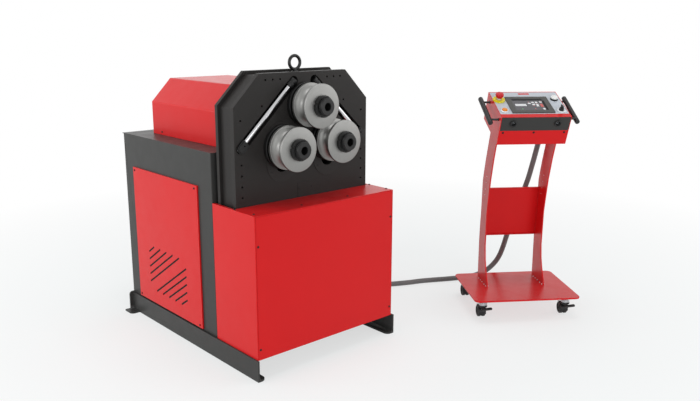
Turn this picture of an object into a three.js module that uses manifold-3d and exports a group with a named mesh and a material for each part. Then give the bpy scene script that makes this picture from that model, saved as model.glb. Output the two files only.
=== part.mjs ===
// Hydraulic three-roll ring roller with a pendant console on castors.
// Millimetres, X to the right, Y to the back, Z up. The machine is drawn about x = 0, with its front
// panel at y = 0 and the floor at z = 0; the last lines shift it to stand on the middle of its base.
import * as THREE from 'three';
import { mergeVertices } from 'three/addons/utils/BufferGeometryUtils.js';
import Module from 'manifold-3d';

const wasm = await Module();
wasm.setup();

// Clearances between pieces: a face that rests on another, and a shaft that turns in a bore
const GAP = 0.3;
const RUNNING = 0.5;
const SHEET = 3;

// Welded base: two angle rails, a middle cross member and a rear one that stands out past the rails
const RAIL = {
  outer: 398, web: 7.5, foot: 42, thick: 8, height: 94, fillet: 14, front: -10, rear: 1120, corner: 24,
};
const MID_MEMBER = { front: 150, rear: 300 };
const REAR_MEMBER = { front: 1050, footEnd: 444, footCorner: 20, webEnd: 417, top: 99, corner: 16 };
const DECK = RAIL.height - GAP;
const MID_DECK = 91.1;

// Front guard: side walls and top in one bent sheet, with a screwed front panel
const GUARD = { half: 390, rear: 313, bottom: 91.4, top: 711, flange: 38, notchHalf: 376, notchFront: 162 };

// Bending head: a thick front plate, and a rear plate with the side band and ribs welded to it
const HEAD = { front: 163.9, plate: 25, bandRear: 273.8, rear: 293.2, bottom: 91.4 };
const FRONT_PLATE = { half: 367.3, knee: 1127.7, top: 1260.3, topHalf: 236.1 };
const BAND = { half: 359, knee: 1122.5, top: 1251, topHalf: 230.5, wall: 12, shoulder: 5 };
const REAR_PLATE = { half: 373, knee: 1130.5, top: 1266, topHalf: 237.5 };
const CYLINDER_BEAM = { bottom: 395, top: 430 };
const WAYS = { front: 215, thick: 16, top: 1088, tie: 10 };

// Cabinet and its covers
const CABINET = { half: 387, front: 318.5, rear: 1125.8, bottom: 94.3, top: 926.8, lip: 1140 };
const SIDE_PANEL = {
  front: 430, rear: 1033, top: 769, leftBottom: 101, rightBottom: 160, outer: 394.5, margin: 15,
};
const COVER = { half: 277, knee: 1083.9, top: 1194.5, topHalf: 171, front: 294, rear: 1023, slope: 0.4 };
const DRIVE_WINDOW = { half: 230, rear: 620, bottom: 780 };

// Vent slots: one pitch apart down the rear limit, the middle one left out, each cut off at the limits
const VENT = {
  places: 11, leftOut: 5, angle: 32.5, pitch: 38.3, width: 8.5, first: 362,
  rear: 909, front: 558.5, low: 169.5, high: 393,
};

// Rollers, shafts and lifting carriages
const UPPER_AXIS = { x: 0, z: 1120 };
const LEFT_AXIS = { x: -127, z: 947.5 };
const RIGHT_AXIS = { x: 127, z: 957 };
const LOWEST_AXIS = 873;
const HIGHEST_AXIS = 975;
const ROLLER = { radius: 95, front: 43, rear: 130, tube: 30, bore: 38, edge: 2, segments: 28 };
const SHAFT = { front: 5, shoulder: 37.4, chamfer: 3, journal: 30, eye: 17.5, eyeDepth: 8 };
const SHAFT_FLANGE = { front: 133, rear: 162, radius: 96, spigot: 82, spigotLength: 10 };
const NUT = { front: 21, rear: 42.5, radius: 47, lead: 3, leadLength: 5, notches: 4, notch: 8 };
const CARRIAGE = { half: 60, halfHeight: 90, front: 191.5, rear: 271 };
const SLOT_HALF = 35;
const CYLINDER = {
  radius: 38, wall: 7, floor: 20, headRadius: 41, headLength: 30, top: 740, y: 231.4,
  rod: 18, piston: 24, pistonBottom: 600,
};
const MOTOR = { nose: 33, noseLength: 26, radius: 55, length: 132, flange: 66, flangeThick: 14, chamfer: 8 };
const MOTOR_PORT = { radius: 11, length: 20, across: 26, back: 50, up: 44 };

// Slanted guide slots with their chromed rods; s runs along the slot from its lower end
const GUIDE = {
  x: 334, z: 958, topX: 57, topZ: 1221, slotHalf: 22, rod: 12.5, y: 172, blockEnd: 34, blockFront: 152,
};
const GUIDE_COLLAR = { start: 350, radius: 19, end: 390 };

const EYE = { z: 1296, ring: 29, wire: 7, y: 230 };

// Power unit on the cabinet's floor: tank, lid, upright pump motor, filler and valve block
const TANK = { half: 210, front: 600, rear: 1000, height: 260 };
const TANK_LID = { overhang: 15, sunk: 10, thick: 12 };
const PUMP_MOTOR = { x: -60, y: 820, flange: 95, flangeThick: 14, radius: 76, height: 176, cap: 64, crown: 16 };
const FILLER = { x: 140, y: 700, radius: 32, height: 30, crown: 6 };
const VALVE_BLOCK = { left: 80, right: 190, front: 820, rear: 940, height: 90 };

// Console: its own frame has its origin on the floor under the stand, turned about Z
const CONSOLE = { x: 1132.7, y: -182.9, turn: -35.458 };
const STAND_BASE = { halfX: 273.6, halfY: 217.7, top: 116, thick: 8, corner: 28 };
const CASTER_PAD = { half: 30, thick: 3 };
const UPRIGHT = { outer: 156, thick: 6 };
const CROSS_PANEL = { bottom: 351, bottomY: 165, top: 617, topY: 140, lip: 14 };
const BOX = { half: 174.6, topRear: [55, 1128], topFront: [-178, 1028], slope: 23.216, drop: 153.5 };

// Side edges of an upright as [y, z] points, from the base up
const REAR_EDGE = [
  [165, 116.3], [165, 190], [167, 321], [160, 432], [154, 471], [147, 657], [133.5, 703], [111, 771], [40, 954],
];
const FRONT_EDGE = [
  [-14, 116.3], [29, 200], [48, 250], [59, 320], [57, 390], [54, 500],
  [41, 570], [17, 684], [1, 734], [-18, 794], [-50, 875], [-63, 908],
];

// On the box: x is across it and s runs down the slope of its top
const FASCIA = { rearStrip: 5, topEnd: 223, stripTop: 1, stripBottom: 75.5 };
const SCREEN = { left: -110, right: 105, rear: 59, front: 217, proud: 5 };
const SOCKET = { x: 111, down: 36, radius: 18, proud: 7, lip: 4 };
const BUTTON = {
  stop: { x: -144.5, s: 86, radius: 20, height: 41, collar: 30, rise: 8, stem: 12 },
  reset: { x: -142, s: 189, radius: 12.5, height: 10, collar: 19.5, rise: 4, stem: 7 },
  start: { x: 140, s: 82, radius: 17, height: 20, collar: 19, rise: 4, stem: 7 },
  selector: { x: 141, s: 192, radius: 12, height: 28, collar: 22, rise: 4, stem: 7 },
};
const STEM_DEPTH = 12;
const COLLAR_FOOT = 4;
const STOP_TRAVEL = 7;
const PUSH_TRAVEL = 3;
const SELECTOR_GRIP = { width: 8, length: 24, base: 12, skirt: 14 };
const HANDLE = {
  x: 217.5, bar: 12, crown: 3, post: 5, from: [46, 1096], to: [-146, 997], posts: [[22, 1080], [-133, 1013]],
};

const CASTER = { x: 217, y: 154, trail: 35.5, radius: 30, width: 38, web: 6, axle: 5 };
const CASTER_HEAD = { bottom: 68, radius: 24, skirt: 22, neck: 17 };
const CASTER_HOOD = { inner: 31.5, outer: 34.5, half: 20, from: 60, to: 195 };
const BRAKE = { pedalLeft: -18, pedalRight: 42, toeLeft: -32 };

// Conduit between the machine and the console
const CONDUIT = { radius: 14, sides: 8, steps: 56 };
const GLAND = { radius: 24, length: 40, nut: 12, step: 4, taper: 10, throat: 18 };
const MACHINE_GLAND = { y: 700, z: 125 };
const CONSOLE_GLAND = { x: 128, y: 70 };

function paint(color, roughness, metalness) {
  return new THREE.MeshStandardMaterial({ color, roughness, metalness });
}
const RED = paint(0xd7292c, 0.42, 0.05);
const GREY = paint(0x545452, 0.5, 0.05);
const HEAD_GREY = paint(0x32302f, 0.5, 0.05);
const STEEL = paint(0x8e8e8c, 0.35, 0.9);
const CHROME = paint(0xd8d8da, 0.12, 1);
const BLACK_STEEL = paint(0x3a3a3a, 0.45, 0.6);
const SILVER = paint(0xc8c8ca, 0.4, 0.3);
const BLACK_PLASTIC = paint(0x1d1d1f, 0.5, 0);
const STRIP_GREY = paint(0x3c3c3a, 0.5, 0);
const CONDUIT_GREY = paint(0x6e6e6e, 0.55, 0);
const RED_PLASTIC = paint(0xc81e1e, 0.35, 0);
const ORANGE = paint(0xe0701c, 0.35, 0);
const WHITE = paint(0xf0f0ee, 0.35, 0);

// Sides of a turned piece that shows as round
const ROUND = 20;

const radians = THREE.MathUtils.degToRad;

// A closed geometry as a solid: shared vertices merged, empty triangles dropped, faces turned outwards
function toSolid(geometry) {
  const bare = geometry.index ? geometry.toNonIndexed() : geometry.clone();
  bare.deleteAttribute('normal');
  bare.deleteAttribute('uv');
  const merged = mergeVertices(bare, 1e-4);
  const points = merged.attributes.position.array;
  const index = merged.index.array;
  const corner = (i) => new THREE.Vector3().fromArray(points, 3 * i);
  const triangles = [];
  let volume = 0;
  for (let t = 0; t < index.length; t += 3) {
    const [a, b, c] = [index[t], index[t + 1], index[t + 2]];
    if (a === b || b === c || c === a) continue;
    triangles.push(a, b, c);
    volume += corner(a).dot(corner(b).cross(corner(c)));
  }
  if (volume < 0) triangles.reverse();
  const mesh = new wasm.Mesh({
    numProp: 3,
    vertProperties: Float32Array.from(points),
    triVerts: Uint32Array.from(triangles),
  });
  return new wasm.Manifold(mesh);
}

function toGeometry(solid) {
  const mesh = solid.getMesh();
  const geometry = new THREE.BufferGeometry();
  geometry.setAttribute('position', new THREE.BufferAttribute(Float32Array.from(mesh.vertProperties), 3));
  geometry.setIndex(Array.from(mesh.triVerts));
  geometry.computeVertexNormals();
  return geometry;
}

function join(first, ...others) {
  return others.reduce((whole, other) => whole.add(other), first);
}

function cut(first, ...others) {
  return others.reduce((whole, other) => whole.subtract(other), first);
}

const ordered = (a, b) => (a < b ? [a, b] : [b, a]);

function box(x, y, z) {
  const geometry = new THREE.BoxGeometry(x[1] - x[0], y[1] - y[0], z[1] - z[0]);
  geometry.translate((x[0] + x[1]) / 2, (y[0] + y[1]) / 2, (z[0] + z[1]) / 2);
  return toSolid(geometry);
}

// A flat outline carried along an axis. Outlines are [x, y], [x, z] or [y, z] points.
function extrude(outline, from, to, places) {
  const shape = new THREE.Shape(outline.map(([a, b]) => new THREE.Vector2(a, b)));
  const geometry = new THREE.ExtrudeGeometry(shape, { depth: to - from, bevelEnabled: false });
  geometry.translate(0, 0, from);
  geometry.applyMatrix4(places);
  return toSolid(geometry);
}
const AXIS = [new THREE.Vector3(1, 0, 0), new THREE.Vector3(0, 1, 0), new THREE.Vector3(0, 0, 1)];
const ALONG_Y = new THREE.Matrix4().makeBasis(AXIS[0], AXIS[2], AXIS[1]);
const ALONG_X = new THREE.Matrix4().makeBasis(AXIS[1], AXIS[2], AXIS[0]);
const ALONG_Z = new THREE.Matrix4();
const plateXZ = (outline, front, rear) => extrude(outline, front, rear, ALONG_Y);
const plateYZ = (outline, left, right) => extrude(outline, left, right, ALONG_X);
const plateXY = (outline, bottom, top) => extrude(outline, bottom, top, ALONG_Z);

// A profile of [radius, distance] points turned about an axis that starts at origin
function turned(profile, segments, origin, direction) {
  const geometry = new THREE.LatheGeometry(profile.map(([r, t]) => new THREE.Vector2(r, t)), segments);
  const toward = new THREE.Vector3(...direction).normalize();
  geometry.applyQuaternion(new THREE.Quaternion().setFromUnitVectors(AXIS[1], toward));
  geometry.translate(...origin);
  return toSolid(geometry);
}
const rod = (radius, length, segments, origin, direction) =>
  turned([[0, 0], [radius, 0], [radius, length], [0, length]], segments, origin, direction);

// The radius whose flats still clear a round of the given radius and running gap
const boreFor = (radius, segments, clearance) => (radius + clearance) / Math.cos(Math.PI / segments);

function arc(cx, cy, radius, from, to, steps) {
  return Array.from({ length: steps + 1 }, (_, i) => {
    const angle = radians(from + ((to - from) * i) / steps);
    return [cx + radius * Math.cos(angle), cy + radius * Math.sin(angle)];
  });
}

function roundedRectangle(x0, x1, y0, y1, radius, steps) {
  return [
    ...arc(x1 - radius, y0 + radius, radius, -90, 0, steps),
    ...arc(x1 - radius, y1 - radius, radius, 0, 90, steps),
    ...arc(x0 + radius, y1 - radius, radius, 90, 180, steps),
    ...arc(x0 + radius, y0 + radius, radius, 180, 270, steps),
  ];
}

// A slot with round ends, between the centres of its ends
function obround([ax, ay], [bx, by], radius, steps) {
  const angle = THREE.MathUtils.radToDeg(Math.atan2(by - ay, bx - ax));
  return [
    ...arc(ax, ay, radius, angle + 90, angle + 270, steps),
    ...arc(bx, by, radius, angle - 90, angle + 90, steps),
  ];
}

const assembly = new THREE.Group();
const consoleGroup = new THREE.Group();
consoleGroup.position.set(CONSOLE.x, CONSOLE.y, 0);
consoleGroup.rotation.z = radians(CONSOLE.turn);
assembly.add(consoleGroup);

function place(group, name, solid, material) {
  const mesh = new THREE.Mesh(toGeometry(solid), material);
  mesh.name = name;
  group.add(mesh);
  return mesh;
}

// Welded base

function rail(side) {
  const { outer, web, foot, thick, height, fillet, front, rear, corner } = RAIL;
  const inner = outer - web;
  const toe = outer - foot;
  const profile = [
    [outer, 0],
    [outer, height],
    [inner, height],
    ...arc(inner - fillet, thick + fillet, fillet, 0, -90, 4),
    [toe, thick],
    [toe, 0],
  ];
  const bar = plateXZ(profile.map(([x, z]) => [side * x, z]), front, rear);
  const plan = [
    [outer + 1, front - 1],
    [outer + 1, rear + 1],
    [toe - 1, rear + 1],
    [toe, front + corner],
    ...arc(toe + corner, front + corner, corner, 180, 270, 5),
    [toe + corner, front - 1],
  ];
  return bar.intersect(plateXY(plan.map(([x, y]) => [side * x, y]), -1, height + 1));
}

// An angle across the back; its foot reaches further out than its web, which is notched for the cabinet
function rearMember() {
  const { front, footEnd, footCorner, webEnd, top, corner } = REAR_MEMBER;
  const { thick, fillet, rear } = RAIL;
  const webFront = rear - thick;
  const profile = [
    [front, 0],
    [rear, 0],
    [rear, top],
    [webFront, top],
    ...arc(webFront - fillet, thick + fillet, fillet, 0, -90, 4),
    [front, thick],
  ];
  const elevation = [
    [footEnd, -1],
    [footEnd, thick],
    [webEnd, thick],
    ...arc(webEnd - corner, top - corner, corner, 0, 90, 3),
    ...arc(corner - webEnd, top - corner, corner, 90, 180, 3),
    [-webEnd, thick],
    [-footEnd, thick],
    [-footEnd, -1],
  ];
  const plan = roundedRectangle(-footEnd, footEnd, front, rear + 3 * footCorner, footCorner, 3);
  const bar = plateYZ(profile, -footEnd, footEnd)
    .intersect(plateXZ(elevation, front - 1, rear + 1))
    .intersect(plateXY(plan, -1, top + 1));
  return cut(bar, box([-GUARD.half, GUARD.half], [webFront - 1, rear + 1], [DECK, top + 1]));
}

function baseFrame() {
  const { outer, web, foot, thick, rear } = RAIL;
  const inner = outer - web + 1;
  const midTop = box([-inner, inner], [MID_MEMBER.front, MID_MEMBER.rear], [MID_DECK - thick, MID_DECK]);
  const midWebs = [MID_MEMBER.front, MID_MEMBER.rear - thick].map((y) =>
    box([-inner, inner], [y, y + thick], [thick - 1, MID_DECK]));
  const midFoot = box([-inner, inner], [MID_MEMBER.rear - foot, MID_MEMBER.rear], [0, thick]);
  const ledgeDepth = [GUARD.rear + 1, rear - thick + 1];
  const ledges = [-1, 1].map((side) =>
    box(ordered(side * (outer - foot), side * inner), ledgeDepth, [DECK - thick, DECK]));
  return join(rail(-1), rail(1), midTop, ...midWebs, midFoot, ...ledges, rearMember());
}
place(assembly, 'base_frame', baseFrame(), GREY);

// Bending head

function housingOutline({ half, knee, top, topHalf }, bottom) {
  return [[-half, bottom], [half, bottom], [half, knee], [topHalf, top], [-topHalf, top], [-half, knee]];
}

// Places along a guide slot: s from its lower end, q across it, on the left or right side
const GUIDE_LENGTH = Math.hypot(GUIDE.x - GUIDE.topX, GUIDE.topZ - GUIDE.z);
const GUIDE_COS = (GUIDE.x - GUIDE.topX) / GUIDE_LENGTH;
const GUIDE_SIN = (GUIDE.topZ - GUIDE.z) / GUIDE_LENGTH;
function guidePoint(side, s, q = 0) {
  return [side * (GUIDE.x - s * GUIDE_COS - q * GUIDE_SIN), GUIDE.z + s * GUIDE_SIN - q * GUIDE_COS];
}

function shaftSlots(y0, y1) {
  return [LEFT_AXIS, RIGHT_AXIS].map(({ x }) =>
    plateXZ(obround([x, LOWEST_AXIS], [x, HIGHEST_AXIS], SLOT_HALF, 8), y0, y1));
}

function upperBore(y0, y1) {
  const radius = boreFor(SHAFT.journal, ROUND, RUNNING);
  return rod(radius, y1 - y0, ROUND, [UPPER_AXIS.x, y0, UPPER_AXIS.z], [0, 1, 0]);
}

function headFrontPlate() {
  const front = HEAD.front;
  const rear = front + HEAD.plate;
  const plate = plateXZ(housingOutline(FRONT_PLATE, HEAD.bottom), front, rear);
  const guideSlots = [-1, 1].map((side) => {
    const slot = obround(guidePoint(side, 0), guidePoint(side, GUIDE_LENGTH), GUIDE.slotHalf, 8);
    return plateXZ(slot, front - 1, rear + 1);
  });
  return cut(plate, ...shaftSlots(front - 1, rear + 1), ...guideSlots, upperBore(front - 1, rear + 1));
}

function headRearFrame() {
  const bandFront = HEAD.front + HEAD.plate + GAP;
  const plate = plateXZ(housingOutline(REAR_PLATE, HEAD.bottom), HEAD.bandRear, HEAD.rear);
  const overlap = HEAD.bandRear + 1;
  const inside = {
    half: BAND.half - BAND.wall,
    knee: BAND.knee - BAND.shoulder,
    top: BAND.top - BAND.wall,
    topHalf: BAND.topHalf - BAND.shoulder,
  };
  const band = cut(
    plateXZ(housingOutline(BAND, HEAD.bottom), bandFront, overlap),
    plateXZ(housingOutline(inside, HEAD.bottom - 1), bandFront - 1, overlap + 1));
  const beamHalf = BAND.half - 1;
  const beam = box([-beamHalf, beamHalf], [bandFront + 1, overlap], [CYLINDER_BEAM.bottom, CYLINDER_BEAM.top]);
  const near = CARRIAGE.half + RUNNING;
  const far = near + WAYS.thick;
  const ways = [LEFT_AXIS, RIGHT_AXIS].flatMap(({ x }) =>
    [-1, 1].map((edge) =>
      box(ordered(x + edge * near, x + edge * far), [WAYS.front, overlap], [CYLINDER.top, WAYS.top])));
  const tieHeight = [WAYS.top - WAYS.tie, WAYS.top];
  const tie = box([LEFT_AXIS.x - far, RIGHT_AXIS.x + far], [WAYS.front, overlap], tieHeight);
  return cut(
    join(plate, band, beam, ...ways, tie),
    ...shaftSlots(HEAD.bandRear - 1, HEAD.rear + 1),
    upperBore(HEAD.bandRear - 1, HEAD.rear + 1));
}

function liftingEye() {
  const ring = new THREE.TorusGeometry(EYE.ring, EYE.wire, 8, 20);
  ring.rotateX(Math.PI / 2);
  ring.translate(0, EYE.y, EYE.z);
  const neck = [[0, 0], [17, 0], [17, 5], [9, 12], [7, 20], [0, 20]];
  return join(toSolid(ring), turned(neck, 16, [0, EYE.y, BAND.top + GAP], [0, 0, 1]));
}

place(assembly, 'head_front_plate', headFrontPlate(), HEAD_GREY);
place(assembly, 'head_rear_frame', headRearFrame(), HEAD_GREY);
place(assembly, 'lifting_eye', liftingEye(), BLACK_STEEL);

// Front guard and its panel

function frontGuard() {
  const { half, rear, bottom, top, flange, notchHalf, notchFront } = GUARD;
  const inner = half - SHEET;
  const roofBottom = top - SHEET;
  const walls = [-1, 1].map((side) => {
    const wall = ordered(side * inner, side * half);
    const lip = ordered(side * (inner - flange), side * (inner + 1));
    return join(box(wall, [0, rear], [bottom, top]), box(lip, [SHEET + GAP, 2 * SHEET + GAP], [bottom, top]));
  });
  const roof = box([-half, half], [0, rear], [roofBottom, top]);
  const notch = box([-notchHalf, notchHalf], [notchFront, rear + 1], [roofBottom - 1, top + 1]);
  return cut(join(roof, ...walls), notch);
}

function frontPanel() {
  const half = GUARD.half - SHEET - GAP;
  return box([-half, half], [0, SHEET], [GUARD.bottom, GUARD.top - SHEET - GAP]);
}
place(assembly, 'front_guard', frontGuard(), RED);
place(assembly, 'front_panel', frontPanel(), RED);

// Cabinet, side panels and top cover

function cabinetShell() {
  const { half, front, rear, bottom, top, lip } = CABINET;
  const shell = join(
    box([-half, half], [front, rear], [bottom, top]),
    box([-half, half], [rear - 1, lip], [top - SHEET, top]));
  const across = [-half + SHEET, half - SHEET];
  const hollow = box(across, [front + SHEET, rear - SHEET], [bottom + SHEET, top - SHEET]);
  const { margin, leftBottom, rightBottom } = SIDE_PANEL;
  const depth = [SIDE_PANEL.front + margin, SIDE_PANEL.rear - margin];
  const windows = [[-1, leftBottom], [1, rightBottom]].map(([side, low]) =>
    box(ordered(side * (half - SHEET - 1), side * (half + 1)), depth, [low + margin, SIDE_PANEL.top - margin]));
  const { half: driveHalf, rear: driveRear, bottom: driveBottom } = DRIVE_WINDOW;
  const driveWindow = box([-driveHalf, driveHalf], [front - 1, driveRear], [driveBottom, top + 1]);
  return cut(shell, hollow, ...windows, driveWindow);
}

function ventSlot(k) {
  const rise = Math.tan(radians(VENT.angle));
  const radius = VENT.width / 2;
  const heightAt = (y) => VENT.first - VENT.pitch * k + (VENT.rear - y) * rise;
  const frontY = Math.max(VENT.front, VENT.rear - (VENT.high - heightAt(VENT.rear)) / rise);
  const rearY = Math.min(VENT.rear, VENT.rear - (VENT.low - heightAt(VENT.rear)) / rise);
  return obround([frontY, heightAt(frontY)], [rearY, heightAt(rearY)], radius, 3);
}

function sidePanel(side, bottom) {
  const x = ordered(side * (CABINET.half + GAP), side * SIDE_PANEL.outer);
  const panel = box(x, [SIDE_PANEL.front, SIDE_PANEL.rear], [bottom, SIDE_PANEL.top]);
  const places = Array.from({ length: VENT.places }, (_, k) => k).filter((k) => k !== VENT.leftOut);
  return cut(panel, ...places.map((k) => plateYZ(ventSlot(k), x[0] - 1, x[1] + 1)));
}

function topCover() {
  const { half, knee, top, topHalf, front, rear, slope } = COVER;
  const bottom = CABINET.top + GAP;
  const outline = (inset, low) => [
    [-half + inset, low],
    [half - inset, low],
    [half - inset, knee - inset * slope],
    [topHalf - inset * slope, top - inset],
    [-topHalf + inset * slope, top - inset],
    [-half + inset, knee - inset * slope],
  ];
  const inside = plateXZ(outline(SHEET, bottom - 1), front - 1, rear - SHEET);
  return cut(plateXZ(outline(0, bottom), front, rear), inside);
}
place(assembly, 'cabinet_shell', cabinetShell(), GREY);
place(assembly, 'side_panel_left', sidePanel(-1, SIDE_PANEL.leftBottom), RED);
place(assembly, 'side_panel_right', sidePanel(1, SIDE_PANEL.rightBottom), RED);
place(assembly, 'top_cover', topCover(), RED);

// Rollers, shafts, nuts and drive motors

function roller({ x, z }) {
  const { radius, front, rear, tube, bore, edge, segments } = ROLLER;
  const width = rear - front;
  const groove = arc(width / 2, radius, tube, 180, 360, 6).map(([t, r]) => [r, t]);
  const profile = [
    [bore, 0],
    [radius - edge, 0],
    [radius, edge],
    ...groove,
    [radius, width - edge],
    [radius - edge, width],
    [bore, width],
    [bore, 0],
  ];
  return turned(profile, segments, [x, front, z], [0, 1, 0]);
}

function shaft({ x, z }, end) {
  const { front, shoulder, chamfer, journal, eye, eyeDepth } = SHAFT;
  const flangeFront = SHAFT_FLANGE.front - front;
  const flangeRear = SHAFT_FLANGE.rear - front;
  const spigotEnd = flangeFront + SHAFT_FLANGE.spigotLength;
  const profile = [
    [0, eyeDepth],
    [eye, eyeDepth],
    [eye, 0],
    [shoulder - chamfer, 0],
    [shoulder, chamfer],
    [shoulder, flangeFront],
    [SHAFT_FLANGE.spigot, flangeFront],
    [SHAFT_FLANGE.spigot, spigotEnd],
    [SHAFT_FLANGE.radius, spigotEnd],
    [SHAFT_FLANGE.radius, flangeRear],
    [journal, flangeRear],
    [journal, end - front],
    [0, end - front],
  ];
  return turned(profile, ROUND, [x, front, z], [0, 1, 0]);
}

function lockNut({ x, z }) {
  const { front, rear, radius, lead, leadLength, notches, notch } = NUT;
  const length = rear - front;
  const bore = ROLLER.bore;
  const profile = [
    [bore, 0],
    [radius - lead, 0],
    [radius - lead, leadLength],
    [radius, leadLength + 1],
    [radius, length],
    [bore, length],
    [bore, 0],
  ];
  const ring = turned(profile, ROUND, [x, front, z], [0, 1, 0]);
  const slots = Array.from({ length: notches }, (_, i) => {
    const slot = new THREE.BoxGeometry(notch, length + 2, notch);
    slot.translate(radius, 0, 0);
    slot.rotateY((2 * Math.PI * i) / notches);
    slot.translate(x, front + length / 2, z);
    return toSolid(slot);
  });
  return cut(ring, ...slots);
}

// A motor that bolts on at y; a nose of the given length, or none, reaches in ahead of its flange
function driveMotor({ x, z }, y, noseLength) {
  const { nose, radius, length, flange, flangeThick, chamfer } = MOTOR;
  const end = noseLength + length;
  const neck = noseLength > 0 ? [[nose, 0], [nose, noseLength]] : [];
  const profile = [
    [0, 0],
    ...neck,
    [flange, noseLength],
    [flange, noseLength + flangeThick],
    [radius, noseLength + flangeThick],
    [radius, end - chamfer],
    [radius - chamfer, end],
    [0, end],
  ];
  const body = turned(profile, 16, [x, y, z], [0, 1, 0]);
  const ports = [-1, 1].map((side) => {
    const at = [x + side * MOTOR_PORT.across, y + end - MOTOR_PORT.back, z + MOTOR_PORT.up];
    return rod(MOTOR_PORT.radius, MOTOR_PORT.length, 8, at, [0, 0, 1]);
  });
  return join(body, ...ports);
}

for (const [name, axis] of [['upper', UPPER_AXIS], ['lower_left', LEFT_AXIS], ['lower_right', RIGHT_AXIS]]) {
  const lifted = axis !== UPPER_AXIS;
  const shaftEnd = lifted ? CARRIAGE.rear : HEAD.rear;
  const motor = driveMotor(axis, shaftEnd + GAP, lifted ? MOTOR.noseLength : 0);
  place(assembly, `${name}_shaft`, shaft(axis, shaftEnd), BLACK_STEEL);
  place(assembly, `${name}_roller`, roller(axis), STEEL);
  place(assembly, `${name}_lock_nut`, lockNut(axis), BLACK_STEEL);
  place(assembly, `${name}_drive_motor`, motor, BLACK_STEEL);
}

// Lifting carriages and their hydraulic cylinders

function carriage({ x, z }) {
  const { half, halfHeight, front, rear } = CARRIAGE;
  const block = box([x - half, x + half], [front, rear], [z - halfHeight, z + halfHeight]);
  const radius = boreFor(SHAFT.journal, ROUND, RUNNING);
  return cut(block, rod(radius, rear - front + 2, ROUND, [x, front - 1, z], [0, 1, 0]));
}

function cylinderBarrel(x) {
  const { radius, wall, floor, headRadius, headLength, rod: rodRadius, top, y } = CYLINDER;
  const bottom = CYLINDER_BEAM.top + GAP;
  const height = top - SHEET - bottom;
  const headBottom = height - headLength;
  const gland = boreFor(rodRadius, 16, RUNNING);
  const inner = radius - wall;
  const profile = [
    [0, 0],
    [radius, 0],
    [radius, headBottom],
    [headRadius, headBottom],
    [headRadius, height],
    [gland, height],
    [gland, headBottom],
    [inner, headBottom],
    [inner, floor],
    [0, floor],
  ];
  return turned(profile, 16, [x, y, bottom], [0, 0, 1]);
}

function cylinderRod({ x, z }) {
  const { radius, wall, rod: rodRadius, piston, pistonBottom, y } = CYLINDER;
  const pistonRadius = (radius - wall) * Math.cos(Math.PI / 16) - RUNNING;
  const length = z - CARRIAGE.halfHeight - GAP - pistonBottom;
  const profile = [
    [0, 0],
    [pistonRadius, 0],
    [pistonRadius, piston],
    [rodRadius, piston],
    [rodRadius, length],
    [0, length],
  ];
  return turned(profile, 16, [x, y, pistonBottom], [0, 0, 1]);
}

for (const [name, axis] of [['left', LEFT_AXIS], ['right', RIGHT_AXIS]]) {
  place(assembly, `lower_${name}_carriage`, carriage(axis), STEEL);
  place(assembly, `${name}_cylinder_barrel`, cylinderBarrel(axis.x), HEAD_GREY);
  place(assembly, `${name}_cylinder_rod`, cylinderRod(axis), CHROME);
}

// Guide rods in their slanted slots, each with a sliding block at its lower end

function guideDirection(side) {
  return [-side * GUIDE_COS, 0, GUIDE_SIN];
}

function guideRod(side) {
  const reach = Math.sqrt(GUIDE.slotHalf ** 2 - GUIDE.rod ** 2) - RUNNING;
  const [x, z] = guidePoint(side, -reach);
  const { start, end, radius } = GUIDE_COLLAR;
  const profile = [
    [0, 0],
    [GUIDE.rod, 0],
    [GUIDE.rod, start + reach],
    [radius, start + reach],
    [radius, end + reach],
    [0, end + reach],
  ];
  return turned(profile, 16, [x, GUIDE.y, z], guideDirection(side));
}

// Round at the slot's lower end and square at the other
function guideBlock(side) {
  const half = GUIDE.slotHalf - RUNNING;
  const front = GUIDE.blockFront;
  const rear = HEAD.front + HEAD.plate;
  const end = GUIDE.blockEnd;
  const block = plateXZ(obround(guidePoint(side, 0), guidePoint(side, end), half, 8), front, rear);
  const past = end + half + 2;
  const squareEnd = [
    guidePoint(side, end, -half),
    guidePoint(side, end, half),
    guidePoint(side, past, half),
    guidePoint(side, past, -half),
  ];
  const [x, z] = guidePoint(side, -GUIDE.slotHalf - 2);
  const length = GUIDE.slotHalf + past + 6;
  const bore = rod(boreFor(GUIDE.rod, 16, RUNNING), length, 16, [x, GUIDE.y, z], guideDirection(side));
  return cut(block, plateXZ(squareEnd, front - 1, rear + 1), bore);
}

for (const [name, side] of [['left', -1], ['right', 1]]) {
  place(assembly, `guide_rod_${name}`, guideRod(side), CHROME);
  place(assembly, `guide_block_${name}`, guideBlock(side), BLACK_STEEL);
}

// Hydraulic power unit in the cabinet: tank, lid and an upright pump motor

function pumpMotor(bottom) {
  const { x, y, flange, flangeThick, radius, height, cap, crown } = PUMP_MOTOR;
  const profile = [
    [0, 0],
    [flange, 0],
    [flange, flangeThick],
    [radius, flangeThick],
    [radius, height - crown],
    [cap, height],
    [0, height],
  ];
  return turned(profile, 16, [x, y, bottom], [0, 0, 1]);
}

function fillerCap(bottom) {
  const { x, y, radius, height, crown } = FILLER;
  const profile = [[0, 0], [radius, 0], [radius, height - crown], [radius - crown, height], [0, height]];
  return turned(profile, 12, [x, y, bottom], [0, 0, 1]);
}

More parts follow.
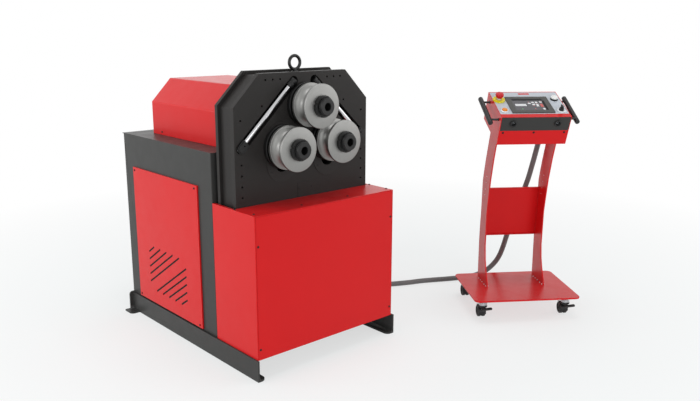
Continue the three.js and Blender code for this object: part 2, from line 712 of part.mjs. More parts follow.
function powerUnit() {
  const floor = CABINET.bottom + SHEET + GAP;
  const lidBottom = floor + TANK.height - TANK_LID.sunk;
  const lidTop = lidBottom + TANK_LID.thick;
  const lidHalf = TANK.half + TANK_LID.overhang;
  const lidDepth = [TANK.front - TANK_LID.overhang, TANK.rear + TANK_LID.overhang];
  const tank = box([-TANK.half, TANK.half], [TANK.front, TANK.rear], [floor, floor + TANK.height]);
  const lid = box([-lidHalf, lidHalf], lidDepth, [lidBottom, lidTop]);
  const { left, right, front, rear, height } = VALVE_BLOCK;
  const valves = box([left, right], [front, rear], [lidTop - 1, lidTop + height]);
  return join(tank, lid, pumpMotor(lidTop - 1), fillerCap(lidTop - 1), valves);
}
place(assembly, 'hydraulic_power_unit', powerUnit(), GREY);

// Console stand

function consoleBase() {
  const { halfX, halfY, top, thick, corner } = STAND_BASE;
  const bottom = top - thick;
  const plate = plateXY(roundedRectangle(-halfX, halfX, -halfY, halfY, corner, 4), bottom, top);
  const { half, thick: padThick } = CASTER_PAD;
  const pads = [-CASTER.x, CASTER.x].flatMap((x) =>
    [-CASTER.y, CASTER.y].map((y) =>
      box([x - half, x + half], [y - half, y + half], [bottom - padThick, bottom + 1])));
  return join(plate, ...pads);
}

// A [y, z] point on the console box: down the slope of its top from the rear edge, and square below it
const BOX_COS = Math.cos(radians(BOX.slope));
const BOX_SIN = Math.sin(radians(BOX.slope));
function boxPoint(down, below) {
  return [BOX.topRear[0] - down * BOX_COS + below * BOX_SIN, BOX.topRear[1] - down * BOX_SIN - below * BOX_COS];
}
const BOX_DEPTH = Math.hypot(BOX.topRear[0] - BOX.topFront[0], BOX.topRear[1] - BOX.topFront[1]);

// A four-sided [y, z] outline between two distances down the slope and two below it
function boxSection(down0, down1, below0, below1) {
  return [boxPoint(down0, below0), boxPoint(down1, below0), boxPoint(down1, below1), boxPoint(down0, below1)];
}

// The plane of the box's underside as a height over y
function undersideHeight(y) {
  const [y0, z0] = boxPoint(BOX_DEPTH, BOX.drop);
  return z0 + (y - y0) * Math.tan(radians(BOX.slope));
}

function upright(side) {
  const [left, right] = ordered(side * (UPRIGHT.outer - UPRIGHT.thick), side * UPRIGHT.outer);
  const clipTop = ([y, z]) => [y, Math.min(z, undersideHeight(y) - GAP)];
  const outline = [...FRONT_EDGE.map(clipTop), ...REAR_EDGE.map(clipTop).reverse()];
  return plateYZ(outline, left, right);
}

function crossPanel() {
  const half = UPRIGHT.outer - UPRIGHT.thick - GAP;
  const { bottom, bottomY, top, topY, lip } = CROSS_PANEL;
  const outline = [
    [bottomY - lip, bottom],
    [bottomY, bottom],
    [topY, top],
    [topY - lip, top],
    [topY - lip, top - SHEET],
    [topY - SHEET, top - SHEET],
    [bottomY - SHEET, bottom + SHEET],
    [bottomY - lip, bottom + SHEET],
  ];
  return plateYZ(outline, -half, half);
}

place(consoleGroup, 'console_base', consoleBase(), RED);
place(consoleGroup, 'console_upright_left', upright(-1), RED);
place(consoleGroup, 'console_upright_right', upright(1), RED);
place(consoleGroup, 'console_cross_panel', crossPanel(), RED);

// Console box: a bent tray with an open top and an open front, closed by the two fascias

function consoleBox() {
  const { rearStrip, topEnd, stripTop, stripBottom } = FASCIA;
  const inner = BOX.half - SHEET;
  const body = plateYZ(boxSection(0, BOX_DEPTH, 0, BOX.drop), -BOX.half, BOX.half);
  const hollow = plateYZ(boxSection(SHEET, BOX_DEPTH - SHEET, SHEET, BOX.drop - SHEET), -inner, inner);
  const top = plateYZ(boxSection(rearStrip, topEnd, -1, SHEET + 1), -inner, inner);
  const strip = plateYZ(boxSection(BOX_DEPTH - SHEET - 1, BOX_DEPTH + 1, stripTop, stripBottom), -inner, inner);
  return cut(body, hollow, top, strip);
}

// A round piece standing on the top fascia at x across and s down the slope
function onFascia(profile, segments, x, s, lift = 0) {
  const [y, z] = boxPoint(s, -lift);
  return turned(profile, segments, [x, y, z], [0, -BOX_SIN, BOX_COS]);
}

const FASCIA_HALF = BOX.half - SHEET - GAP;

// The fascia with a collar round each button, and a well through it for the button's stem; a collar
// stands on a smaller foot, so that its rim may lie over the box's cheek
function topPlate() {
  const outline = boxSection(FASCIA.rearStrip + GAP, FASCIA.topEnd - GAP, 0, SHEET);
  const plate = plateYZ(outline, -FASCIA_HALF, FASCIA_HALF);
  const collars = Object.values(BUTTON).map(({ x, s, collar, rise }) => {
    const foot = collar - COLLAR_FOOT;
    const profile = [
      [0, -1],
      [foot, -1],
      [foot, GAP],
      [collar, GAP],
      [collar, rise - 1],
      [collar - 1, rise],
      [0, rise],
    ];
    return onFascia(profile, 16, x, s);
  });
  const depth = SHEET + 2;
  const wells = Object.values(BUTTON).map(({ x, s, rise, stem }) => {
    const radius = boreFor(stem, 12, RUNNING);
    const height = depth + rise + 1;
    return onFascia([[0, 0], [radius, 0], [radius, height], [0, height]], 12, x, s, -depth);
  });
  return cut(join(plate, ...collars), ...wells);
}

// A cap over its collar on a stem through the fascia; the cap stands off the collar by its travel
function button({ x, s, radius, height, rise, stem }, travel, crown) {
  const base = rise + travel;
  const profile = [
    [0, -STEM_DEPTH],
    [stem, -STEM_DEPTH],
    [stem, base],
    [radius, base],
    [radius, height - crown],
    [radius - crown, height],
    [0, height],
  ];
  return onFascia(profile, 12, x, s);
}

function selectorKnob() {
  const { x, s, radius, height, rise, stem } = BUTTON.selector;
  const { width, length, base, skirt } = SELECTOR_GRIP;
  const collarTop = rise + GAP;
  const profile = [
    [0, -STEM_DEPTH],
    [stem, -STEM_DEPTH],
    [stem, collarTop],
    [radius, collarTop],
    [radius, skirt],
    [0, skirt],
  ];
  const grip = new THREE.BoxGeometry(width, length, height - base);
  grip.translate(0, 0, (height + base) / 2);
  grip.rotateX(radians(BOX.slope));
  const [y, z] = boxPoint(s, 0);
  grip.translate(x, y, z);
  return join(onFascia(profile, 12, x, s), toSolid(grip));
}

function touchScreen() {
  const { left, right, rear, front, proud } = SCREEN;
  return plateYZ(boxSection(rear, front, -proud, -GAP), left, right);
}

// The socket strip with its two round sockets standing proud
function socketPanel() {
  const { stripTop, stripBottom } = FASCIA;
  const outline = boxSection(BOX_DEPTH - SHEET, BOX_DEPTH, stripTop + GAP, stripBottom - GAP);
  const { down, radius, proud, lip } = SOCKET;
  const profile = [[0, 0], [radius, 0], [radius, proud - 1], [radius - lip, proud], [0, proud]];
  const [y, z] = boxPoint(BOX_DEPTH - 1, down);
  const sockets = [-SOCKET.x, SOCKET.x].map((x) => turned(profile, 16, [x, y, z], [0, -BOX_COS, -BOX_SIN]));
  return join(plateYZ(outline, -FASCIA_HALF, FASCIA_HALF), ...sockets);
}

place(consoleGroup, 'console_box', consoleBox(), RED);
place(consoleGroup, 'console_top_plate', topPlate(), SILVER);
place(consoleGroup, 'console_socket_panel', socketPanel(), STRIP_GREY);
place(consoleGroup, 'touch_screen', touchScreen(), BLACK_PLASTIC);
place(consoleGroup, 'e_stop_cap', button(BUTTON.stop, STOP_TRAVEL, 4), RED_PLASTIC);
place(consoleGroup, 'reset_button', button(BUTTON.reset, GAP + PUSH_TRAVEL, 1), ORANGE);
place(consoleGroup, 'start_button', button(BUTTON.start, GAP + PUSH_TRAVEL, 1), WHITE);
place(consoleGroup, 'selector_knob', selectorKnob(), BLACK_PLASTIC);

// Handles: a bar beside each cheek on two posts

function handle(side) {
  const { x, bar, crown, post, from, to, posts } = HANDLE;
  const start = [side * x, ...from];
  const span = [0, to[0] - from[0], to[1] - from[1]];
  const length = Math.hypot(...span);
  const profile = [
    [0, 0],
    [bar - crown, 0],
    [bar, crown],
    [bar, length - crown],
    [bar - crown, length],
    [0, length],
  ];
  const grip = turned(profile, 12, start, span);
  const reach = x - BOX.half - GAP - 2;
  const arms = posts.map(([y, z]) => rod(post, reach, 8, [side * (BOX.half + GAP), y, z], [side, 0, 0]));
  return join(grip, ...arms);
}
place(consoleGroup, 'handle_left', handle(-1), BLACK_PLASTIC);
place(consoleGroup, 'handle_right', handle(1), BLACK_PLASTIC);

// Castors: a web that swivels with a hood, twin wheels on one axle, and a brake rocker on the front two

const PAD_BOTTOM = STAND_BASE.top - STAND_BASE.thick - CASTER_PAD.thick;

function casterFork(x, y) {
  const { trail, radius, web: webWidth, axle } = CASTER;
  const axleY = y + trail;
  const half = webWidth / 2;
  const web = plateYZ([
    [axleY - 12, radius - 10],
    [axleY + 8, radius - 10],
    [axleY + 12, radius],
    [axleY + 14, radius + 22],
    [axleY - 2, radius + 38],
    [y - 14, radius + 46],
    [y - 20, radius + 36],
    [axleY - 18, radius + 8],
  ], x - half, x + half);
  const { inner, outer, half: hoodHalf, from, to } = CASTER_HOOD;
  const hoodOutline = [...arc(axleY, radius, outer, from, to, 9), ...arc(axleY, radius, inner, to, from, 9)];
  const hood = plateYZ(hoodOutline, x - hoodHalf, x + hoodHalf);
  const { bottom, radius: headRadius, skirt, neck } = CASTER_HEAD;
  const height = PAD_BOTTOM - GAP - bottom;
  const headProfile = [[0, 0], [headRadius, 0], [headRadius, skirt], [neck, height], [0, height]];
  const head = turned(headProfile, 16, [x, y, bottom], [0, 0, 1]);
  const bore = rod(boreFor(axle, 12, RUNNING), webWidth + 4, 12, [x - half - 2, axleY, radius], [1, 0, 0]);
  return cut(join(web, hood, head), bore);
}

function casterWheel(x, y) {
  const { trail, radius, width, web, axle } = CASTER;
  const inner = web / 2 + RUNNING;
  const outer = width / 2;
  const profile = [
    [0, -outer + 2],
    [radius - 8, -outer],
    [radius - 2, -outer + 1],
    [radius, -outer + 4],
    [radius, -inner],
    [axle, -inner],
    [axle, inner],
    [radius, inner],
    [radius, outer - 4],
    [radius - 2, outer - 1],
    [radius - 8, outer],
    [0, outer - 2],
  ];
  return turned(profile, 16, [x, y + trail, radius], [1, 0, 0]);
}

function casterBrake(x, y) {
  const profile = [
    [y - 36, 50],
    [y - 27, 50],
    [y - 22, 56],
    [y - 21, 66],
    [y - 27, 66],
    [y - 31, 60],
    [y - 36, 58],
  ];
  const pedal = plateYZ(profile, x + BRAKE.pedalLeft, x + BRAKE.pedalRight);
  const toe = box([x + BRAKE.toeLeft, x + BRAKE.pedalLeft + 1], [y - 35, y - 26], [51, 59]);
  return join(pedal, toe);
}

for (const [end, ySign] of [['front', -1], ['rear', 1]]) {
  for (const [name, xSign] of [['left', -1], ['right', 1]]) {
    const x = xSign * CASTER.x;
    const y = ySign * CASTER.y;
    place(consoleGroup, `caster_fork_${end}_${name}`, casterFork(x, y), BLACK_PLASTIC);
    place(consoleGroup, `caster_wheel_${end}_${name}`, casterWheel(x, y), BLACK_PLASTIC);
    if (end === 'front') {
      place(consoleGroup, `caster_brake_${name}`, casterBrake(x, y), BLACK_PLASTIC);
    }
  }
}

// Conduit and its glands

function gland(at, direction) {
  const { radius, length, nut, step, taper, throat } = GLAND;
  const profile = [
    [0, 0],
    [radius, 0],
    [radius, nut],
    [radius - step, nut],
    [radius - step, length - taper],
    [throat, length],
    [0, length],
  ];
  return turned(profile, 12, at, direction);
}

// A point off the console gland's foot, square to the box's underside
const UNDERSIDE = [0, BOX_SIN, -BOX_COS];
function offUnderside(distance) {
  const { x, y } = CONSOLE_GLAND;
  return [x, y + distance * UNDERSIDE[1], undersideHeight(y) + distance * UNDERSIDE[2]];
}

// The conduit's centre line: from the machine's gland over the floor, then up behind the console
const GLAND_MOUTH = GLAND.length + 2 * GAP;
const LIE = CONDUIT.radius + 0.2;
const MACHINE_ROUTE = [
  [CABINET.half + GLAND_MOUTH, MACHINE_GLAND.y, MACHINE_GLAND.z],
  [456, 700, 124.5], [500, 697, 116], [545, 686, 97], [592, 667, 70], [638, 642, 43],
  [684, 610, 23], [732, 572, LIE + 1.5], [780, 532, LIE], [825, 494, LIE],
];
const CONSOLE_ROUTE = [
  [-591, 371, LIE], [-487, 388, LIE], [-424, 404, LIE], [-345, 416, LIE], [-273, 424, LIE], [-212, 433, LIE],
  [-166, 436, LIE + 1], [-124, 424, 25], [-87, 394, 48], [-50, 342, 91], [-20, 292, 152], [-6, 262, 201],
  [6, 240, 262], [18, 222, 334], [40, 210, 420], [68, 202, 515], [96, 193, 609], [106, 180, 660],
  [113, 165, 715], [119, 146, 775], [124, 124, 840],
  offUnderside(GLAND.length + 32), offUnderside(GLAND_MOUTH),
];

function conduitPath() {
  const turn = radians(CONSOLE.turn);
  const toMachine = ([x, y, z]) => new THREE.Vector3(
    CONSOLE.x + x * Math.cos(turn) - y * Math.sin(turn),
    CONSOLE.y + x * Math.sin(turn) + y * Math.cos(turn),
    z);
  const points = [...MACHINE_ROUTE.map((p) => new THREE.Vector3(...p)), ...CONSOLE_ROUTE.map(toMachine)];
  return new THREE.CatmullRomCurve3(points, false, 'centripetal');
}

function conduit() {
  const { radius, sides, steps } = CONDUIT;
  const corners = arc(0, 0, radius, 0, 360 - 360 / sides, sides - 1);
  const section = new THREE.Shape(corners.map(([a, b]) => new THREE.Vector2(a, b)));
  const tube = new THREE.ExtrudeGeometry(section, { steps, extrudePath: conduitPath(), bevelEnabled: false });
  return toSolid(tube);
}

const machineGland = gland([CABINET.half + GAP, MACHINE_GLAND.y, MACHINE_GLAND.z], [1, 0, 0]);
place(assembly, 'conduit_gland_machine', machineGland, BLACK_PLASTIC);
place(consoleGroup, 'conduit_gland_console', gland(offUnderside(GAP), UNDERSIDE), BLACK_PLASTIC);
const conduitMesh = place(assembly, 'conduit', conduit(), CONDUIT_GREY);

// Stand the part on the middle of its base, measured without the conduit and its glands
const corded = new Set(['conduit', 'conduit_gland_machine', 'conduit_gland_console']);
assembly.updateMatrixWorld(true);
const extent = new THREE.Box3();
assembly.traverse((item) => {
  if (item.isMesh && !corded.has(item.name)) extent.expandByObject(item, true);
});
const middle = extent.getCenter(new THREE.Vector3());
assembly.position.set(-middle.x, -middle.y, -extent.min.z);
assembly.updateMatrixWorld(true);
conduitMesh.userData.length = conduitPath().getLength();

export default assembly;
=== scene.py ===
import math

import bmesh
import bpy
import numpy as np
from bpy.props import FloatProperty, FloatVectorProperty, PointerProperty
from bpy.types import Operator, Panel, PropertyGroup
from mathutils import Matrix, Vector
from mathutils.geometry import tessellate_polygon


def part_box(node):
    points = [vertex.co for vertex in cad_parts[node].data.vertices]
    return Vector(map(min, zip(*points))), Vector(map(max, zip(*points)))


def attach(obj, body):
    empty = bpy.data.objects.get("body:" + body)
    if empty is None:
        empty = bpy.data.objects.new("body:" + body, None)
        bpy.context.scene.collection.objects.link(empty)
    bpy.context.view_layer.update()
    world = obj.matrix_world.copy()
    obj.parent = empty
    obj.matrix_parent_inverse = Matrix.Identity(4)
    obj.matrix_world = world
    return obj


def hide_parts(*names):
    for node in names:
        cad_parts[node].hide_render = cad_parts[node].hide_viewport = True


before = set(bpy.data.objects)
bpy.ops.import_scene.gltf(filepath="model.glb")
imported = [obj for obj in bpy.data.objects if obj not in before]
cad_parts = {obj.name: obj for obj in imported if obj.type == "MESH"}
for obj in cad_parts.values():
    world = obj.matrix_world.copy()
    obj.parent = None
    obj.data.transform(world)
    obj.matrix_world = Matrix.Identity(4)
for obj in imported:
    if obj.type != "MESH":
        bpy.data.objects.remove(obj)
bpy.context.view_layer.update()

bl_info = {
    "name": "Ring Roller",
    "version": (1, 0, 0),
    "blender": (4, 5, 0),
    "location": "View3D > Sidebar > Ring Roller",
    "description": "Dresses a packed three-roll ring roller and its console",
    "category": "Object",
}

# The machine's own frame: millimetres from the middle of its front panel, on the floor
HEAD_FRONT, HEAD_BACK = 163.9, 188.9
LOW_CORNER, HIGH_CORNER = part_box("head_front_plate")
MACHINE = np.array([(LOW_CORNER.x + HIGH_CORNER.x) / 2, LOW_CORNER.y - HEAD_FRONT / 1000, 0.0])

# The console's frame: on the floor under its stand, turned about the upright axis
CONSOLE_AT = (1132.7, -182.9)
CONSOLE_TURN = math.radians(-35.458)

# The console box slopes to the front from its top rear edge
BOX_TOP_REAR = (55.0, 1128.0)
BOX_SLOPE = math.radians(23.216)
BOX_DEPTH = math.hypot(233.0, 100.0)
BOX_DROP = 153.5
BOX_HALF = 174.6

# The head: the rollers' axes, the slots in which the lower shafts travel, and the guide rods' slots
UPPER = (0.0, 1120.0)
LOWER_LEFT = (-127.0, 947.5)
LOWER_RIGHT = (127.0, 957.0)
SLOT_LOW, SLOT_HIGH, SLOT_RADIUS = 873.0, 975.0, 35.0
GUIDE_LOW = (334.0, 958.0)
GUIDE_HIGH = (57.0, 1221.0)
GUIDE_RADIUS = 22.0
ROD_DEPTH = 172.0

# The sheet boxes: half widths, tops and fronts of their outer faces
GUARD_HALF, GUARD_TOP = 390.0, 711.0
CABINET_HALF, CABINET_TOP = 387.0, 926.8
CABINET_LIP_FRONT = 1100.0
PANEL_FACE = 394.5
COVER_HALF, COVER_FRONT = 277.0, 293.35

# What stands on the console's fascia: x across and y down the slope
STOP_AT, RESET_AT, START_AT, SELECTOR_AT = (-144.5, 86), (-142, 189), (140, 82), (141, 192)
FASCIA_HALF = BOX_HALF - 3.4

# The castors: their swivel axes, how far the axle trails, and the wheel
CASTOR_X, CASTOR_Y = 217.0, 154.0
CASTOR_TRAIL = 35.5
WHEEL_RADIUS = 30.0

SIDES = {"left": -1, "right": 1}


def linear(code):
    """An sRGB hex colour as the linear red, green and blue that Blender mixes."""
    parts = np.array([int(code[i:i + 2], 16) for i in (1, 3, 5)]) / 255
    return tuple(np.where(parts <= 0.04045, parts / 12.92, ((parts + 0.055) / 1.055) ** 2.4))


def size(name, text, default):
    """A length that the user may change, in metres."""
    return FloatProperty(name=name, description=text, default=default, min=0.0001, unit="LENGTH", precision=4)


def colour(name, text, code):
    """A colour that the user may change."""
    return FloatVectorProperty(
        name=name, description=text, default=linear(code), size=3, min=0, max=1, subtype="COLOR")


class RollerSizes(PropertyGroup):
    """Sizes of the turned pieces."""

    roller_radius: size("Roller radius", "Outer radius of the three rollers", 0.095)
    tube_radius: size("Groove radius", "Radius of the groove that carries the tube", 0.030)
    shaft_radius: size("Shaft radius", "Radius of the shafts where the rollers sit", 0.0374)
    nut_radius: size("Lock nut radius", "Outer radius of the lock nuts", 0.047)
    rod_radius: size("Guide rod radius", "Radius of the chromed guide rods", 0.0125)


class SheetSizes(PropertyGroup):
    """Sizes of the sheet work and its fasteners."""

    edge: size("Edge rounding", "Rounding of a cut sheet edge", 0.0007)
    bend: size("Bend radius", "Outer radius of a sheet bend", 0.004)
    screw: size("Screw head radius", "Radius of the button head screws", 0.0054)


class ConduitSizes(PropertyGroup):
    """Sizes of the sheathed conduit."""

    diameter: size("Diameter", "Outer diameter of the conduit", 0.028)
    pitch: size("Rib pitch", "Distance between two ribs of the spiral that shows through the sheath", 0.005)
    depth: size("Rib depth", "How far the sheath sinks in between two ribs", 0.0004)


class Finishes(PropertyGroup):
    """Colours of the finishes."""

    red: colour("Red enamel", "Guards, covers and console", "#D5171A")
    grey: colour("Grey enamel", "Cabinet and base", "#3D3D3C")
    head: colour("Head enamel", "Bending head's plates", "#2C2A29")
    steel: colour("Turned steel", "Rollers", "#8C8C8A")
    black_steel: colour("Blackened steel", "Shafts and nuts", "#1D1D1D")
    silver: colour("Silver enamel", "Console's top plate", "#C6CCD4")
    strip: colour("Grey plastic", "Socket strip", "#2E2E2D")
    conduit: colour("Conduit", "Sheathed conduit", "#6E6D6D")


# Materials


def add(tree, kind, inputs=None, **settings):
    """A shader node with its settings, each input given a value or joined to a socket."""
    node = tree.nodes.new("ShaderNode" + kind)
    for key, value in settings.items():
        setattr(node, key, value)
    for key, value in (inputs or {}).items():
        if isinstance(value, bpy.types.NodeSocket):
            tree.links.new(value, node.inputs[key])
        else:
            node.inputs[key].default_value = value
    return node


def begin(name, **sockets):
    """An empty material with one shader, whose own sockets take the numbers that are the same all over."""
    material = bpy.data.materials.new(name)
    material.use_nodes = True
    tree = material.node_tree
    tree.nodes.clear()
    shader = add(tree, "BsdfPrincipled")
    for key, value in sockets.items():
        shader.inputs[key.replace("_", " ")].default_value = value
    add(tree, "OutputMaterial", {"Surface": shader.outputs["BSDF"]})
    return material, tree, shader


def feed(tree, shader, **values):
    """Joins each value to the shader's input of that name."""
    for key, value in values.items():
        tree.links.new(value, shader.inputs[key.replace("_", " ")])


def shade(base, factor=1.0):
    """A linear colour made lighter or darker, with its alpha."""
    return (*(min(1.0, c * factor) for c in base[:3]), 1.0)


def varied(tree, base, spread, grain, place):
    """A colour that drifts between a darker and a lighter tone of the base, in patches one grain wide."""
    drift = add(tree, "TexNoise", {"Vector": place, "Scale": 1 / grain, "Detail": 3.0, "Roughness": 0.55})
    tone = add(tree, "Mix", {
        "Factor": drift.outputs["Fac"],
        6: shade(base, 1 - spread),
        7: shade(base, 1 + spread),
    }, data_type="RGBA")
    return drift, tone.outputs[2]


def between(tree, value, low, high, start=0.3, end=0.7):
    """A value from start to end spread over low to high."""
    node = add(tree, "MapRange", {
        "Value": value, "From Min": start, "From Max": end, "To Min": low, "To Max": high})
    return node.outputs["Result"]


def raised(tree, shader, height, distance):
    """Joins a height to the shader's normal as a bump of the given depth in metres."""
    bump = add(tree, "Bump", {"Height": height, "Distance": distance, "Strength": 1.0})
    tree.links.new(bump.outputs["Normal"], shader.inputs["Normal"])


def enamel(name, base, gloss, peel=0.00012, coat=0.35):
    # Polyester powder coat, sprayed on steel and baked: a full, even colour under a skin with a faint
    # orange peel, 3 mm from crest to crest. Seen square on it is nearly matt; a glance along a flat turns
    # it pale. It dulls a little where it is handled.
    material, tree, shader = begin(
        name, Roughness=gloss, Specular_IOR_Level=0.1, Coat_Weight=coat, Coat_Roughness=0.26, Coat_IOR=1.2)
    place = add(tree, "TexCoord").outputs["Object"]
    tone = varied(tree, base, 0.03, 0.22, place)[1]
    rubbed = add(tree, "TexNoise", {"Vector": place, "Scale": 1 / 0.06, "Detail": 4.0})
    dull = between(tree, rubbed.outputs["Fac"], gloss - 0.04, gloss + 0.07)
    feed(tree, shader, Base_Color=tone, Roughness=dull)
    skin = add(tree, "TexNoise", {"Vector": place, "Scale": 1 / 0.003, "Detail": 1.0})
    raised(tree, shader, skin.outputs["Fac"], peel)
    return material


def along_marks(tree, spacing):
    """A tool mark pattern that changes only along the profile, so that its lines run round the axis."""
    route = add(tree, "UVMap", uv_map="along")
    parts = add(tree, "SeparateXYZ", {"Vector": route.outputs["UV"]})
    marks = add(tree, "TexNoise", {
        "W": parts.outputs["Y"], "Scale": 1 / spacing, "Detail": 2.0, "Roughness": 0.6,
    }, noise_dimensions="1D")
    return marks.outputs["Fac"]


def turned_steel(name, base, gloss, spacing=0.0014):
    # Carbon steel, turned and oiled: bright, with fine tool marks round the axis that stretch its
    # reflections. The real feed marks are 0.2 mm apart and are drawn 1.4 mm apart so that they show.
    material, tree, shader = begin(name, Metallic=1.0, Roughness=gloss)
    place = add(tree, "TexCoord").outputs["Object"]
    tone = varied(tree, base, 0.07, 0.04, place)[1]
    marks = along_marks(tree, spacing)
    feed(tree, shader, Base_Color=tone, Roughness=between(tree, marks, gloss - 0.07, gloss + 0.09))
    raised(tree, shader, marks, 0.00005)
    return material


def chrome(name):
    # Hard chrome over ground steel: a clean mirror, with a haze of grinding marks that only dulls the
    # edge of its reflections.
    material, tree, shader = begin(name, Metallic=1.0, Base_Color=shade(linear("#C4C4C6")))
    feed(tree, shader, Roughness=between(tree, along_marks(tree, 0.004), 0.1, 0.17))
    return material


def black_oxide(name, base, gloss=0.4):
    # Blackened steel, hot oxide and oil on a turned surface: nearly black, a little metal to the eye,
    # with worn lighter patches where tools and hands reach.
    material, tree, shader = begin(name, Metallic=0.3, Roughness=gloss, Specular_IOR_Level=0.4)
    place = add(tree, "TexCoord").outputs["Object"]
    worn = add(tree, "TexNoise", {"Vector": place, "Scale": 1 / 0.012, "Detail": 5.0, "Roughness": 0.62})
    amount = between(tree, worn.outputs["Fac"], 0.0, 0.5, 0.45, 0.75)
    tone = add(tree, "Mix", {"Factor": amount, 6: shade(base, 0.92), 7: shade(base, 1.6)}, data_type="RGBA")
    dull = between(tree, worn.outputs["Fac"], gloss + 0.05, gloss - 0.1)
    feed(tree, shader, Base_Color=tone.outputs[2], Roughness=dull)
    raised(tree, shader, along_marks(tree, 0.0012), 0.00003)
    return material


def moulded(name, base, gloss=0.48, grain=0.0011, relief=0.00006):
    # Moulded polyamide or ABS: an even colour with the mould's fine spark-eroded pebble, a soft low
    # gloss and no metal in it.
    material, tree, shader = begin(name, Specular_IOR_Level=0.35)
    place = add(tree, "TexCoord").outputs["Object"]
    tone = varied(tree, base, 0.05, 0.03, place)[1]
    pebble = add(tree, "TexVoronoi", {"Vector": place, "Scale": 1 / grain}, feature="SMOOTH_F1")
    dull = between(tree, pebble.outputs["Distance"], gloss - 0.05, gloss + 0.08, 0, 0.8)
    feed(tree, shader, Base_Color=tone, Roughness=dull)
    raised(tree, shader, pebble.outputs["Distance"], relief)
    return material


def zinc_plate(name, code):
    # Zinc or satin nickel on steel, passivated: pale, slightly blue and milky, with the cloudy spangle
    # of the bath.
    material, tree, shader = begin(name, Metallic=0.45)
    place = add(tree, "TexCoord").outputs["Object"]
    drift, tone = varied(tree, linear(code), 0.1, 0.008, place)
    feed(tree, shader, Base_Color=tone, Roughness=between(tree, drift.outputs["Fac"], 0.26, 0.42))
    raised(tree, shader, drift.outputs["Fac"], 0.00004)
    return material


def tread(name):
    # Polyurethane tread on a castor: nearly black, dull, and dusted grey where it meets the floor.
    material, tree, shader = begin(name, Roughness=0.62, IOR=1.5)
    place = add(tree, "TexCoord").outputs["Object"]
    height = add(tree, "SeparateXYZ", {"Vector": place}).outputs["Z"]
    dust = add(tree, "TexNoise", {"Vector": place, "Scale": 1 / 0.006, "Detail": 4.0})
    low = between(tree, height, 0.35, 0.0, 0.0, 0.02)
    amount = add(tree, "Math", {0: low, 1: dust.outputs["Fac"]}, operation="MULTIPLY")
    tone = add(tree, "Mix", {
        "Factor": amount.outputs[0],
        6: shade(linear("#161616")),
        7: shade(linear("#6A6662")),
    }, data_type="RGBA")
    feed(tree, shader, Base_Color=tone.outputs[2])
    raised(tree, shader, dust.outputs["Fac"], 0.00008)
    return material


def display_glass(name, base, gloss=0.16):
    # Anti-glare touch glass over a display: smooth and dark, its etched face spreads a reflection.
    material, tree, shader = begin(name, Roughness=gloss, IOR=1.5, Coat_Weight=0.3, Coat_Roughness=0.1)
    place = add(tree, "TexCoord").outputs["Object"]
    smears, tone = varied(tree, base, 0.04, 0.05, place)
    dull = between(tree, smears.outputs["Fac"], gloss - 0.03, gloss + 0.08)
    feed(tree, shader, Base_Color=tone, Roughness=dull)
    etch = add(tree, "TexNoise", {"Vector": place, "Scale": 1 / 0.0009, "Detail": 1.0})
    raised(tree, shader, etch.outputs["Fac"], 0.00001)
    return material


def make_finishes(colours):
    """Every finish of the machine, by name."""
    return {
        "red": enamel("red_powder_coat", colours.red, 0.36, coat=0.7),
        "grey": enamel("grey_powder_coat", colours.grey, 0.42),
        "head": enamel("dark_head_enamel", colours.head, 0.45, 0.0002),
        "wear": enamel("wear_plate_enamel", linear("#2E2C2B"), 0.4, 0.0002),
        "silver": enamel("silver_powder_coat", colours.silver, 0.38, 0.00008),
        "steel": turned_steel("turned_roller_steel", colours.steel, 0.47),
        "machined": turned_steel("machined_block_steel", linear("#8A8A88"), 0.42, 0.003),
        "chrome": chrome("hard_chrome"),
        "black_steel": black_oxide("black_oxide_steel", colours.black_steel),
        "screw": black_oxide("black_screw_steel", linear("#0E0E0E"), 0.5),
        "block": black_oxide("black_guide_block_steel", linear("#161616"), 0.45),
        # Black put behind the vents and along the screen's recess is painted shade; on the cover's seal it is
        # the seal's own black
        "black_and_painted_shade": moulded("black_seal_and_painted_shade", linear("#0C0C0C"), 0.8),
        "black": moulded("black_polyamide", linear("#1A1A1B")),
        "grip": moulded("black_grip_plastic", linear("#242425"), 0.42),
        "strip": moulded("grey_socket_strip", colours.strip, 0.5, 0.0009, 0.00004),
        "screen_frame": moulded("screen_frame_plastic", linear("#434341"), 0.45, 0.0009, 0.00003),
        "glass": display_glass("touch_glass", linear("#37343D")),
        "lit": display_glass("display_field", linear("#E4E6E8"), 0.22),
        "lit_red": display_glass("display_red", linear("#C84038"), 0.22),
        "lit_green": display_glass("display_green", linear("#4E9A58"), 0.22),
        "neck": moulded("pale_button_neck", linear("#C9C9C6"), 0.4, 0.002, 0.00001),
        "red_button": moulded("red_button_plastic", linear("#C8141C"), 0.26, 0.002, 0.00001),
        "yellow": moulded("yellow_collar_plastic", linear("#E8D818"), 0.34, 0.002, 0.00001),
        "orange": moulded("orange_lens_plastic", linear("#F08A1C"), 0.2, 0.002, 0.00001),
        "white": moulded("white_button_plastic", linear("#F2F2F0"), 0.25, 0.002, 0.00001),
        "conduit": moulded("grey_conduit_polyamide", colours.conduit, 0.5, 0.0014, 0.00005),
        "zinc": zinc_plate("zinc_plated_steel", "#B9BCC0"),
        "bright": zinc_plate("satin_nickel_ring", "#D6D8DC"),
        "tread": tread("castor_tread"),
    }


FINISH = {}


# Surfaces


